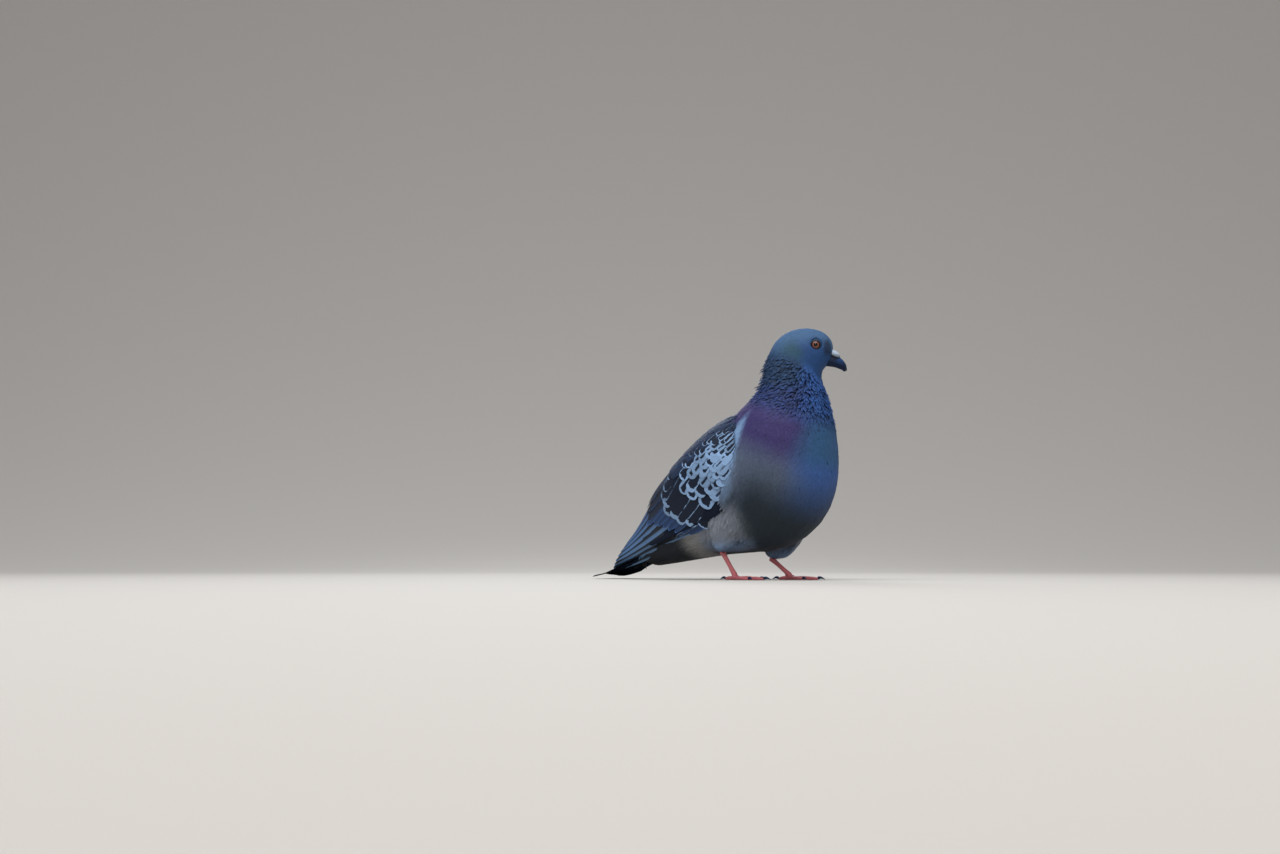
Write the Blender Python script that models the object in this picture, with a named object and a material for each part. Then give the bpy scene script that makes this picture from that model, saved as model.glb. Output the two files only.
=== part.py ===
"""A feral pigeon standing upright, life size, as a still model made of closed solids.

Units are metres, +Z is up, the bird's breast faces +X and its left side is +Y.
The body is one ladder of sections from the bill to the tail root, written for a bird that looks
straight ahead. Each section turns about the vertical by its own angle, which turns the head to the
bird's left. Gaps of a third of a millimetre part the pieces.
"""

import functools
import math

import bmesh
import bpy
from mathutils import Matrix, Vector
from mathutils.bvhtree import BVHTree

MM = 0.001
GAP = 0.35 * MM  # free space between two pieces that meet
HEAD_TURN = math.radians(30.0)  # how far the head looks to the bird's left of its breast
RING_POINTS = 28  # corners round a body section
STEPS_PER_SECTION = 2  # rings from one named section to the next

# name: dorsal x, dorsal z, ventral x, ventral z, half width (mm), fullness, share of the head's turn.
# Fullness under 0 makes the ventral half of the section the wider one.
SECTIONS = {
    "bill_base": (66.0, 191.5, 63.0, 181.0, 4.8, 0.00, 1.00),
    "brow": (66.4, 196.0, 60.8, 179.6, 8.2, 0.00, 1.00),
    "lores": (64.4, 202.2, 58.8, 177.6, 11.0, -0.05, 1.00),
    "eye": (57.0, 208.8, 57.4, 175.8, 13.6, -0.08, 1.00),
    "crown": (45.0, 211.8, 56.8, 174.2, 15.4, -0.10, 1.00),
    "hind_crown": (30.8, 209.8, 56.6, 172.2, 16.8, -0.10, 1.00),
    "nape": (18.4, 201.5, 56.8, 169.6, 18.4, -0.08, 0.96),
    "upper_neck": (10.8, 187.0, 58.0, 164.6, 21.0, -0.05, 0.86),
    "mid_neck": (6.4, 170.5, 61.0, 155.5, 25.0, 0.00, 0.66),
    "lower_neck": (1.0, 156.5, 65.0, 140.5, 31.0, -0.05, 0.38),
    "shoulder": (-13.0, 145.0, 67.2, 122.0, 41.0, -0.12, 0.12),
    "upper_back": (-34.0, 126.5, 69.0, 97.5, 46.0, -0.15, 0.00),
    "mid_back": (-57.0, 102.0, 66.5, 72.0, 46.0, -0.18, 0.00),
    "lower_back": (-80.0, 77.0, 54.0, 46.5, 41.0, -0.18, 0.00),
    "rump": (-96.5, 53.0, 23.0, 27.0, 33.0, -0.12, 0.00),
    "vent": (-106.0, 37.5, -32.0, 21.5, 24.0, -0.05, 0.00),
    "undertail": (-115.0, 27.0, -83.0, 14.5, 15.5, 0.00, 0.00),
    "tail_root": (-124.0, 20.5, -106.0, 11.5, 9.0, 0.00, 0.00),
}
HEAD_ENDS_AT = "upper_neck"
NECK_ENDS_AT = "shoulder"

# Wing, right side: the upper edge by the spine and the lower edge on the flank, front to tip (mm),
# then how far the outer face swells past the line between them, and the thickness.
WING_STATIONS = (
    ((-8, -24, 139), (4, -46, 92), 9, 5),
    ((-17, -20, 138), (3, -49, 70), 15, 9),
    ((-31, -15, 133), (-10, -49, 57), 20, 12),
    ((-50, -11, 120), (-24, -47, 49), 22, 12),
    ((-71, -8, 103), (-42, -43, 42.5), 21, 11),
    ((-92, -6, 83.5), (-63, -38, 36.5), 16, 8),
    ((-108, -4.5, 63), (-86, -31, 30), 10, 5.5),
    ((-123, -3.5, 44), (-108, -25, 24), 6, 3.2),
    ((-141, -4, 25.5), (-132, -18, 18.4), 2.6, 2.2),
    ((-158, -6, 11), (-156.5, -11, 9.8), 0.6, 1.4),
)
WING_ARC_POINTS = 9
WING_COVERTS_END, WING_SECONDARIES_END = 3.9, 6.5  # where the wing is parted, in stations
WING_LIFT = 2.2 * MM  # least height of the wing's face over the flank
WING_ROOT = 3.0 * MM  # how far a wing reaches into the flank before it is cut clear of it
WING_REACH = 30 * MM  # how far out the flank is looked for
WING_HOLLOW = 12 * MM  # the widest space under a wing that its inner face fills
WING_FULLEST = 0.85  # under 1, the outer face swells most above its middle
WING_EDGE = 0.35  # thickness at the edges, as a share of the middle's
WING_TIP_THICK = 1.2  # mm

# Tail, root to tip (mm): middle x and z, half width, half thickness, how far the sides droop.
TAIL_STATIONS = (
    (-84, 35, 14, 7.5, 1.0),
    (-104, 27.0, 17, 6.0, 1.5),
    (-124, 17.6, 20, 3.6, 2.2),
    (-143, 9.4, 23.5, 1.9, 2.0),
    (-157, 5.1, 26, 0.9, 1.4),
    (-167, 3.5, 23.5, 0.5, 0.9),
)
TAIL_FACE_POINTS = 7
TAIL_EDGE = 0.35  # half the thickness of the tail's side edges
TAIL_ROUNDING = 5.0  # how much shorter the outer feathers are

# Bill, seen from the side with the head straight (mm).
CULMEN = ((66.6, 190.4), (70.6, 187.9), (74.4, 184.7), (77.2, 180.4), (77.9, 175.0))
TOMIUM = ((63.6, 182.6), (67.6, 181.3), (71.4, 179.8), (74.8, 178.0), (77.2, 175.0))
GONYS = ((62.9, 179.4), (66.2, 178.5), (69.4, 177.6), (72.4, 176.3), (74.8, 175.6))
UPPER_BILL_HALF_WIDTHS = (4.5, 3.8, 3.0, 2.0, 0.4)
LOWER_BILL_HALF_WIDTHS = (4.4, 3.6, 2.7, 1.7, 0.4)
BILL_ARCH_POINTS = 10
BILL_TIP = 0.6  # least depth of either half, at its tip
CERE_CENTRE, CERE_RADII, CERE_PITCH = (68.2, 190.6), (4.6, 4.3, 2.9), math.radians(36)
CERE_GROOVE, CERE_GROOVE_WIDTH = 0.35, 0.35  # of the groove between the lobes, as shares of their size
CERE_TAPER = 0.25  # how much narrower the lobes are in front

EYE_CENTRE, EYE_RADIUS = (51.8, 196.0), 5.2  # the whole eyeball, of which a cap of 8 mm shows
EYE_OUT = 9.8  # eyeball's middle, off the head's midline
EYE_SEGMENTS, EYE_RINGS = 14, 10

# Legs (mm): hip, middle of the feathered thigh, heel, foot joint.
LEGS = {
    "right": ((2, -20, 70), (-14, -29, 47), (-27, -19.5, 26), (-13, -18.5, 3.0)),
    "left": ((22, 18, 62), (8, 28, 40), (-3, 19.5, 19.5), (19, 18.5, 3.0)),
}
THIGH_RADII = (9, 15, 16.5, 12.5, 4.8)
THIGH_STEPS, THIGH_CORNERS = 10, 16
TARSUS_RADII = (2.7, 2.1, 1.9, 2.0, 2.5)
TARSUS_STEPS, TARSUS_CORNERS = 8, 10
TARSUS_STARTS, TARSUS_ENDS = 2.2, 1.4  # how far it stays from the heel and from the foot joint (mm)
# Palm of the foot, back to front (mm): x from the foot joint, half width, height.
PALM = ((-3.6, 2.2, 2.8), (-1.8, 3.0, 4.2), (0.5, 3.2, 4.5), (2.6, 3.0, 3.8), (3.9, 2.4, 3.0))
# Toe: name, angle from straight ahead towards the bird's midline, start and end from the foot joint,
# length of its claw, pads under it, how far its root is off the middle of the palm (mm).
TOES = (
    ("inner", 27, 4.3, 20, 6.0, 2, 1.1),
    ("middle", 2, 4.3, 27, 6.5, 3, 0.0),
    ("outer", -26, 4.3, 22, 6.0, 2, -1.1),
    ("hind", 172, 4.0, 11, 6.0, 2, 0.0),
)
TOE_HALF_WIDTH, TOE_HEIGHT, TOE_TAPER, TOE_PADS = 2.0, 3.6, 0.30, 0.09
TOE_STEPS, TOE_CORNERS = 7, 10
SOLE = 0.72  # width of a toe's flat sole, as a share of the toe's width
CLAW_RADIUS, CLAW_TIP_RADIUS, CLAW_HEIGHT, CLAW_ARCH, CLAW_DROP = 1.15, 0.28, 1.55, 0.75, 1.15
CLAW_STEPS, CLAW_CORNERS = 5, 6

COLOURS = {
    "blue_grey_plumage": ((0.06, 0.10, 0.17), 0.75),
    "neck_gloss": ((0.06, 0.05, 0.13), 0.50),
    "slate_plumage": ((0.07, 0.09, 0.13), 0.80),
    "wing_plumage": ((0.10, 0.14, 0.20), 0.70),
    "flight_feather": ((0.03, 0.05, 0.08), 0.65),
    "red_skin": ((0.42, 0.12, 0.12), 0.60),
    "dark_horn": ((0.03, 0.035, 0.045), 0.35),
    "white_cere": ((0.62, 0.66, 0.72), 0.70),
    "eye": ((0.45, 0.12, 0.02), 0.10),
}


def clear_scene():
    for item in list(bpy.data.objects):
        bpy.data.objects.remove(item)


def finish_of(name):
    """The material of that name, made once."""
    if name in bpy.data.materials:
        return bpy.data.materials[name]
    colour, roughness = COLOURS[name]
    made = bpy.data.materials.new(name)
    made.use_nodes = True
    shader = made.node_tree.nodes["Principled BSDF"]
    shader.inputs["Base Color"].default_value = (*colour, 1.0)
    shader.inputs["Roughness"].default_value = roughness
    shader.inputs["Metallic"].default_value = 0.0
    return made


def read_curve(rows, at):
    """A smooth value between rows of numbers: a Catmull-Rom curve with row 0 at 0, row 1 at 1."""
    last = len(rows) - 1
    left = max(0, min(last - 1, int(at)))
    t = at - left
    a, b, c, d = (rows[max(0, min(last, left + k))] for k in (-1, 0, 1, 2))
    return tuple(
        0.5 * (2 * q + (r - p) * t + (2 * p - 5 * q + 4 * r - s) * t * t + (3 * q - p - 3 * r + s) * t**3)
        for p, q, r, s in zip(a, b, c, d)
    )


def loft(name, rings, finish):
    """A closed solid from rings with the same even count of points, each end filled by rungs across it."""
    work = bmesh.new()
    made = [[work.verts.new(point) for point in ring] for ring in rings]
    count = len(made[0])
    for ring, following in zip(made, made[1:]):
        for k in range(count):
            near = (k + 1) % count
            work.faces.new((ring[k], ring[near], following[near], following[k]))
    for ring in (made[0], made[-1]):
        for k in range(count // 2 - 1):
            work.faces.new((ring[k], ring[k + 1], ring[count - 2 - k], ring[count - 1 - k]))
    bmesh.ops.recalc_face_normals(work, faces=work.faces)
    return finish_object(name, work, finish)


def finish_object(name, work, finish):
    mesh = bpy.data.meshes.new(name)
    work.to_mesh(mesh)
    work.free()
    mesh.materials.append(finish_of(finish))
    mesh.shade_smooth()
    mesh.set_sharp_from_angle(angle=math.radians(50))
    item = bpy.data.objects.new(name, mesh)
    bpy.context.scene.collection.objects.link(item)
    return item


def swollen(item, by, name):
    """A hidden cutter: a copy of the solid with its surface moved outwards."""
    work = bmesh.new()
    work.from_mesh(item.data)
    bmesh.ops.recalc_face_normals(work, faces=work.faces)
    work.normal_update()
    moves = {corner: corner.normal * by * min(3.0, corner.calc_shell_factor()) for corner in work.verts}
    for corner, move in moves.items():
        corner.co += move
    cutter = finish_object(name, work, "dark_horn")
    cutter.hide_render = True
    cutter.display_type = "WIRE"
    return cutter


def cut(item, cutter):
    step = item.modifiers.new("clear_" + cutter.name, "BOOLEAN")
    step.operation = "DIFFERENCE"
    step.solver = "EXACT"
    step.object = cutter


@functools.cache
def body_rings():
    """The body's sections as rings of points, bill to tail root, with each ring's middle and normal."""
    rows = list(SECTIONS.values())
    count = (len(rows) - 1) * STEPS_PER_SECTION + 1
    ladder = [read_curve(rows, k / STEPS_PER_SECTION) for k in range(count)]
    straight = [Vector(((r[0] + r[2]) / 2, 0, (r[1] + r[3]) / 2)) * MM for r in ladder]
    turns = [Matrix.Rotation(HEAD_TURN * r[6], 3, "Z") for r in ladder]
    middles = [straight[-1]] * count
    for k in reversed(range(count - 1)):
        middles[k] = middles[k + 1] + turns[k] @ (straight[k] - straight[k + 1])
    rings = []
    for row, middle, turn in zip(ladder, middles, turns):
        rise = Vector((row[0] - row[2], 0, row[1] - row[3])) * MM / 2
        width, fullness = row[4] * MM, row[5]
        ring = []
        for k in range(RING_POINTS):
            angle = 2 * math.pi * k / RING_POINTS
            side = width * math.sin(angle) * (1 + fullness * math.cos(angle))
            ring.append(middle + turn @ (rise * math.cos(angle) + Vector((0, side, 0))))
        normal = turn @ Vector((0, 1, 0)).cross(rise).normalized()
        rings.append((ring, middle, normal))
    return rings


def ring_number(section):
    """Which ring of the body stands at a named section."""
    return list(SECTIONS).index(section) * STEPS_PER_SECTION


def moved(ring, by):
    return [point + by for point in ring]


def head_place(x, y, z):
    """Where a point given for the straight head (mm) goes once the head is turned."""
    first = SECTIONS["bill_base"]
    start = Vector(((first[0] + first[2]) / 2, 0, (first[1] + first[3]) / 2))
    turn = Matrix.Rotation(HEAD_TURN, 3, "Z")
    return body_rings()[0][1] + turn @ ((Vector((x, y, z)) - start) * MM)


def make_body():
    """Head, neck and trunk, which meet on flat sections."""
    rings = body_rings()
    head_end, neck_end = ring_number(HEAD_ENDS_AT), ring_number(NECK_ENDS_AT)
    points = [ring for ring, _, _ in rings]
    # A section's normal points along the bird towards its bill.
    head_gap, neck_gap = rings[head_end][2] * GAP / 2, rings[neck_end][2] * GAP / 2
    head_front = moved(points[0], -rings[0][2] * GAP)
    head = loft(
        "head",
        [head_front, *points[1:head_end], moved(points[head_end], head_gap)],
        "blue_grey_plumage",
    )
    neck_front, neck_back = moved(points[head_end], -head_gap), moved(points[neck_end], neck_gap)
    neck = loft("neck", [neck_front, *points[head_end + 1 : neck_end], neck_back], "neck_gloss")
    trunk = loft(
        "trunk",
        [moved(points[neck_end], -neck_gap), *points[neck_end + 1 :]],
        "slate_plumage",
    )
    return head, neck, trunk


def make_eyes(head):
    """An eyeball on each side, in a socket that is open to the outside."""
    x, z = EYE_CENTRE
    for side, sign in (("right", -1), ("left", 1)):
        place = head_place(x, sign * EYE_OUT, z)
        facing = Matrix.Rotation(HEAD_TURN, 4, "Z") @ Matrix.Rotation(math.pi / 2, 4, "X")
        work = bmesh.new()
        radius = EYE_RADIUS * MM
        bmesh.ops.create_uvsphere(work, u_segments=EYE_SEGMENTS, v_segments=EYE_RINGS, radius=radius)
        bmesh.ops.transform(work, matrix=Matrix.Translation(place) @ facing, verts=work.verts)
        eye = finish_object("eye_" + side, work, "eye")
        cut(head, swollen(eye, GAP, "socket_" + side))


def bill_ring(edge, ridge, half_width):
    """An arch over the bill's cutting edge, with a flat side between its two ends."""
    ring = []
    for k in range(BILL_ARCH_POINTS):
        angle = math.pi * k / (BILL_ARCH_POINTS - 1)
        rise = math.sin(angle)
        x = edge[0] + (ridge[0] - edge[0]) * rise
        z = edge[1] + (ridge[1] - edge[1]) * rise
        ring.append(head_place(x, half_width * math.cos(angle), z))
    return ring


def make_bill(head_clearance):
    """The two halves of the bill, which meet along the cutting edge. Returns the upper one."""
    halves = []
    for name, ridge, half_widths, side in (
        ("bill_upper", CULMEN, UPPER_BILL_HALF_WIDTHS, 1),
        ("bill_lower", GONYS, LOWER_BILL_HALF_WIDTHS, -1),
    ):
        rings = []
        for k in range(2 * len(ridge) - 1):
            x, z = read_curve(TOMIUM, k / 2)
            (half_width,) = read_curve([(width,) for width in half_widths], k / 2)
            top_x, top_z = read_curve(ridge, k / 2)
            if (top_z - z) * side < BILL_TIP:
                top_z = z + side * BILL_TIP
            rings.append(bill_ring((x, z + side * GAP / MM / 2), (top_x, top_z), half_width))
        half = loft(name, rings, "dark_horn")
        cut(half, head_clearance)
        halves.append(half)
    return halves[0]


def make_cere(bill, head_clearance):
    """The swollen pale skin over the nostrils: two lobes with a groove between them."""
    work = bmesh.new()
    bmesh.ops.create_uvsphere(work, u_segments=20, v_segments=12, radius=MM)
    for corner in work.verts:
        if corner.co.z > 0:
            corner.co.z *= 1 - CERE_GROOVE * math.exp(-((corner.co.y / MM / CERE_GROOVE_WIDTH) ** 2))
        corner.co.y *= 1 - CERE_TAPER * max(0.0, corner.co.x / MM)
    x, z = CERE_CENTRE
    size = Matrix.Diagonal((*CERE_RADII, 1.0))
    turn = Matrix.Rotation(HEAD_TURN, 4, "Z") @ Matrix.Rotation(CERE_PITCH, 4, "Y")
    place = Matrix.Translation(head_place(x, 0, z))
    bmesh.ops.transform(work, matrix=place @ turn @ size, verts=work.verts)
    cere = finish_object("cere", work, "white_cere")
    cut(cere, swollen(bill, GAP, "bill_clearance"))
    cut(cere, head_clearance)
    return cere


def wing_edges(at):
    """The wing's upper and lower edge points, swell and thickness at a station number."""
    rows = [(*upper, *lower, swell, thick) for upper, lower, swell, thick in WING_STATIONS]
    row = read_curve(rows, at)
    return Vector(row[0:3]) * MM, Vector(row[3:6]) * MM, row[6] * MM, max(row[7], WING_TIP_THICK) * MM


def wing_along(at):
    """The way the wing runs at a station number, towards its tip."""
    before, after = wing_edges(at - 0.2), wing_edges(at + 0.2)
    return (after[0] + after[1] - before[0] - before[1]).normalized()


def wing_ring(at, body):
    """A section of the right wing: the outer face clears the body and the inner face runs into it."""
    upper, lower, swell, thick = wing_edges(at)
    along = wing_along(at)
    outward = along.cross(lower - upper).normalized()
    if outward.y > 0:
        outward = -outward
    shares = [k / (WING_ARC_POINTS - 1) for k in range(WING_ARC_POINTS)]
    arc = [upper.lerp(lower, t) + outward * swell * math.sin(math.pi * t**WING_FULLEST) for t in shares]
    outer, inner = [], []
    for k, t in enumerate(shares):
        point = arc[k]
        tangent = arc[min(k + 1, WING_ARC_POINTS - 1)] - arc[max(k - 1, 0)]
        normal = along.cross(tangent).normalized()
        if normal.dot(outward) < 0:
            normal = -normal
        depth = thick * (WING_EDGE + (1 - WING_EDGE) * math.sin(math.pi * t))
        _, _, _, met = body.ray_cast(point + normal * WING_REACH, -normal, 2 * WING_REACH)
        if met is not None:
            rise = WING_REACH - met  # the body's surface over the point, along its normal
            if rise + WING_LIFT > 0:
                point = point + normal * (rise + WING_LIFT)
                depth = WING_LIFT + WING_ROOT
            elif -rise < depth + WING_HOLLOW:
                depth = -rise + WING_ROOT
        for found, place in ((outer, point), (inner, point - normal * depth)):
            place.y = min(place.y, -GAP)
            found.append(place)
    return outer + inner[::-1]


def make_wings(body_pieces, cutters, tail_clearance):
    """Both wings in three pieces each. Returns a cutter round the coverts of each side."""
    covert_clearances = {}
    body = BVHTree.FromPolygons(*joined_faces(body_pieces))
    last = len(WING_STATIONS) - 1
    spans = (
        ("coverts", 0.0, WING_COVERTS_END, 9, "wing_plumage"),
        ("secondaries", WING_COVERTS_END, WING_SECONDARIES_END, 6, "flight_feather"),
        ("primaries", WING_SECONDARIES_END, last, 6, "flight_feather"),
    )
    for part, start, end, steps, finish in spans:
        rings = [wing_ring(start + (end - start) * k / steps, body) for k in range(steps + 1)]
        if start > 0:
            rings[0] = moved(rings[0], wing_along(start) * GAP / 2)
        if end < last:
            rings[-1] = moved(rings[-1], -wing_along(end) * GAP / 2)
        for side, sign in (("right", 1), ("left", -1)):
            wing = loft(
                f"wing_{side}_{part}",
                [[Vector((p.x, p.y * sign, p.z)) for p in ring] for ring in rings],
                finish,
            )
            for cutter in cutters:
                cut(wing, cutter)
            if part == "coverts":
                covert_clearances[side] = swollen(wing, GAP, "coverts_clearance_" + side)
            else:
                cut(wing, tail_clearance)
    return covert_clearances


def joined_faces(items):
    """Corners and faces of several solids in one list each."""
    corners, faces = [], []
    for item in items:
        start = len(corners)
        corners += [corner.co.copy() for corner in item.data.vertices]
        faces += [[start + k for k in face.vertices] for face in item.data.polygons]
    return corners, faces


def make_tail(trunk_clearance):
    """The closed tail: flat, with drooping sides and a rounded end."""
    rings = []
    last = 2 * (len(TAIL_STATIONS) - 1)
    for k in range(last + 1):
        x, z, half_width, half_thick, droop = read_curve(TAIL_STATIONS, k / 2)
        top, bottom = [], []
        for n in range(TAIL_FACE_POINTS):
            t = -1 + 2 * n / (TAIL_FACE_POINTS - 1)
            lift = half_thick * math.sqrt(1 - t * t) + TAIL_EDGE
            place_x = x + TAIL_ROUNDING * t * t * (k / last) ** 4
            middle_z = z - droop * t * t
            top.append(Vector((place_x, t * half_width, middle_z + lift)) * MM)
            bottom.append(Vector((place_x, t * half_width, middle_z - lift)) * MM)
        rings.append(top + bottom[::-1])
    tail = loft("tail", rings, "flight_feather")
    cut(tail, trunk_clearance)
    return tail


def tube_rings(path, radii, corners):
    """Round rings along a path."""
    rings = []
    for k, (point, radius) in enumerate(zip(path, radii)):
        along = (path[min(k + 1, len(path) - 1)] - path[max(k - 1, 0)]).normalized()
        across = (Vector((0, 1, 0)) - along * along.y).normalized()
        up = along.cross(across)
        angles = [2 * math.pi * n / corners for n in range(corners)]
        rings.append([point + (across * math.cos(a) + up * math.sin(a)) * radius for a in angles])
    return rings


def spread(values, steps):
    """Radii (mm) read evenly from a short list, as lengths."""
    rows = [(value,) for value in values]
    return [read_curve(rows, (len(values) - 1) * k / steps)[0] * MM for k in range(steps + 1)]


def make_leg(side, trunk_clearance, coverts_clearance):
    """A feathered thigh and the bare tarsus under it. Returns the tarsus."""
    hip, middle, heel, foot = (Vector(point) * MM for point in LEGS[side])
    path = [Vector(read_curve((hip, middle, heel), 2 * k / THIGH_STEPS)) for k in range(THIGH_STEPS + 1)]
    rings = tube_rings(path, spread(THIGH_RADII, THIGH_STEPS), THIGH_CORNERS)
    thigh = loft("thigh_" + side, rings, "slate_plumage")
    cut(thigh, trunk_clearance)
    cut(thigh, coverts_clearance)
    along = (foot - heel).normalized()
    start, end = heel + along * TARSUS_STARTS * MM, foot - along * TARSUS_ENDS * MM
    path = [start.lerp(end, k / TARSUS_STEPS) for k in range(TARSUS_STEPS + 1)]
    rings = tube_rings(path, spread(TARSUS_RADII, TARSUS_STEPS), TARSUS_CORNERS)
    tarsus = loft("tarsus_" + side, rings, "red_skin")
    cut(tarsus, swollen(thigh, GAP, "thigh_clearance_" + side))
    cut(tarsus, trunk_clearance)
    return tarsus


def toe_section(place, direction, half_width, height):
    """An upright section of a toe: a flat sole on the floor and a round top."""
    across = Vector((-direction.y, direction.x, 0)) * half_width
    ring = [place + across * SOLE, place - across * SOLE]
    for k in range(TOE_CORNERS - 2):
        angle = math.pi * (1.16 * k / (TOE_CORNERS - 3) - 0.08)
        rise = height * (0.42 + 0.58 * math.sin(angle))
        ring.append(place - across * math.cos(angle) + Vector((0, 0, rise)))
    return ring


def make_foot(side, tarsus):
    """Four toes that stand on flat soles round one palm, each with its claw."""
    to_midline = 1 if side == "right" else -1
    middle = Vector(LEGS[side][-1]) * MM
    middle.z = 0
    ahead = Vector((1, 0, 0))
    rings = [toe_section(middle + ahead * x * MM, ahead, wide * MM, high * MM) for x, wide, high in PALM]
    palm = loft("palm_" + side, rings, "red_skin")
    palm_clearance = swollen(palm, GAP, "palm_clearance_" + side)
    cut(tarsus, palm_clearance)
    for name, angle, start, end, claw, pads, off_middle in TOES:
        turn = math.radians(angle) * to_midline
        direction = Vector((math.cos(turn), math.sin(turn), 0))
        across = Vector((-direction.y, direction.x, 0))
        root = middle + across * off_middle * to_midline * MM
        rings = []
        for k in range(TOE_STEPS + 1):
            t = k / TOE_STEPS
            size = (1 + TOE_PADS * math.cos(2 * math.pi * t * pads)) * (1 - TOE_TAPER * t)
            wide, high = TOE_HALF_WIDTH * size * MM, TOE_HEIGHT * size * MM
            if k in (0, TOE_STEPS):
                wide, high = wide * 0.62, high * 0.8
            place = root + direction * (start + (end - start) * t) * MM
            rings.append(toe_section(place, direction, wide, high))
        toe = loft(f"toe_{name}_{side}", rings, "red_skin")
        cut(toe, palm_clearance)
        make_claw(f"claw_{name}_{side}", root + direction * (end * MM + GAP), direction, claw * MM)


def make_claw(name, root, direction, length):
    """A claw that arches up and comes down to its point just over the floor."""
    across = Vector((-direction.y, direction.x, 0))
    rings = []
    for k in range(CLAW_STEPS + 1):
        t = k / CLAW_STEPS
        height = CLAW_HEIGHT + CLAW_ARCH * math.sin(math.pi * min(1.0, 1.1 * t)) - CLAW_DROP * t * t
        radius = CLAW_RADIUS * (1 - t) ** 0.75 + CLAW_TIP_RADIUS
        middle = root + direction * length * t + Vector((0, 0, height * MM))
        ring = []
        for n in range(CLAW_CORNERS):
            angle = 2 * math.pi * n / CLAW_CORNERS
            out, up = 0.8 * math.cos(angle), math.sin(angle)
            ring.append(middle + (across * out + Vector((0, 0, up))) * radius * MM)
        rings.append(ring)
    loft(name, rings, "dark_horn")


def settle_on_origin():
    """Hangs everything on one empty, moved so that the bird's box stands on the origin by its middle."""
    bpy.context.view_layer.update()
    graph = bpy.context.evaluated_depsgraph_get()
    shown = [item for item in bpy.context.scene.objects if not item.hide_render]
    corners = [point.co for item in shown for point in item.evaluated_get(graph).to_mesh().vertices]
    low = [min(c[k] for c in corners) for k in range(3)]
    high = [max(c[k] for c in corners) for k in range(3)]
    bird = bpy.data.objects.new("pigeon", None)
    bird.location = (-(low[0] + high[0]) / 2, -(low[1] + high[1]) / 2, -low[2])
    bpy.context.scene.collection.objects.link(bird)
    for item in list(bpy.context.scene.objects):
        if item is not bird:
            item.parent = bird


def main():
    clear_scene()
    head, neck, trunk = make_body()
    head_clearance = swollen(head, GAP, "head_clearance")
    neck_clearance = swollen(neck, GAP, "neck_clearance")
    trunk_clearance = swollen(trunk, GAP, "trunk_clearance")
    upper_bill = make_bill(head_clearance)
    make_cere(upper_bill, head_clearance)
    make_eyes(head)
    tail_clearance = swollen(make_tail(trunk_clearance), 2 * GAP, "tail_clearance")
    coverts = make_wings((neck, trunk), (trunk_clearance, neck_clearance), tail_clearance)
    for side in LEGS:
        make_foot(side, make_leg(side, trunk_clearance, coverts[side]))
    settle_on_origin()


main()
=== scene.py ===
"""Dresses the solids of a standing feral pigeon: skin, feathers, eyes, bill, feet and a plain studio."""

import contextlib
import functools
import math
from typing import NamedTuple

import bpy
import numpy as np
from bpy.props import FloatProperty, FloatVectorProperty, IntProperty, PointerProperty
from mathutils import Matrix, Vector
from mathutils.bvhtree import BVHTree


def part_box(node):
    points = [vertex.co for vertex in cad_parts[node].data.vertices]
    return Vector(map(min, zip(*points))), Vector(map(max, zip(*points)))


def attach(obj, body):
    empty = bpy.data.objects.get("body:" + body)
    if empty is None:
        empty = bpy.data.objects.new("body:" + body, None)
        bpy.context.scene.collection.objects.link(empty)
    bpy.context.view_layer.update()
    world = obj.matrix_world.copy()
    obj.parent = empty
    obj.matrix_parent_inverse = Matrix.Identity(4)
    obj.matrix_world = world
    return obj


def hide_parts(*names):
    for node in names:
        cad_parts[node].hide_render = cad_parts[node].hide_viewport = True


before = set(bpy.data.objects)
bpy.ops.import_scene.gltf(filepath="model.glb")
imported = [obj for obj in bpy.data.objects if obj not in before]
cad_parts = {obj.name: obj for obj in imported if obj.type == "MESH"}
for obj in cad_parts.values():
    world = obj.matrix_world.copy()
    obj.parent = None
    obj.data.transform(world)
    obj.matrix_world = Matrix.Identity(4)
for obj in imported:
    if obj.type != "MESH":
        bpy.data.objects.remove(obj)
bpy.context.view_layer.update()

bl_info = {
    "name": "Pigeon Dresser",
    "version": (1, 0, 0),
    "blender": (4, 5, 0),
    "location": "3D Viewport > Sidebar > Pigeon",
    "description": "Skin, feathers, eyes, bill and feet for a life-size standing pigeon",
    "category": "Add Mesh",
}

MM = 0.001
SIDES = {"right": -1, "left": 1}  # where each side lies along Y

# ---------------------------------------------------------------- settings


def srgb(red, green, blue):
    """A display colour out of 255 as linear values."""
    return tuple(((c / 255 + 0.055) / 1.055) ** 2.4 for c in (red, green, blue))


def colour(name, description, *display):
    """A colour that the user can change."""
    return FloatVectorProperty(
        name=name, description=description, default=srgb(*display), subtype="COLOR", min=0.0, max=1.0
    )


def length(name, description, millimetres):
    """A length that the user can change."""
    return FloatProperty(name=name, description=description, default=millimetres * MM, unit="LENGTH")


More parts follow.
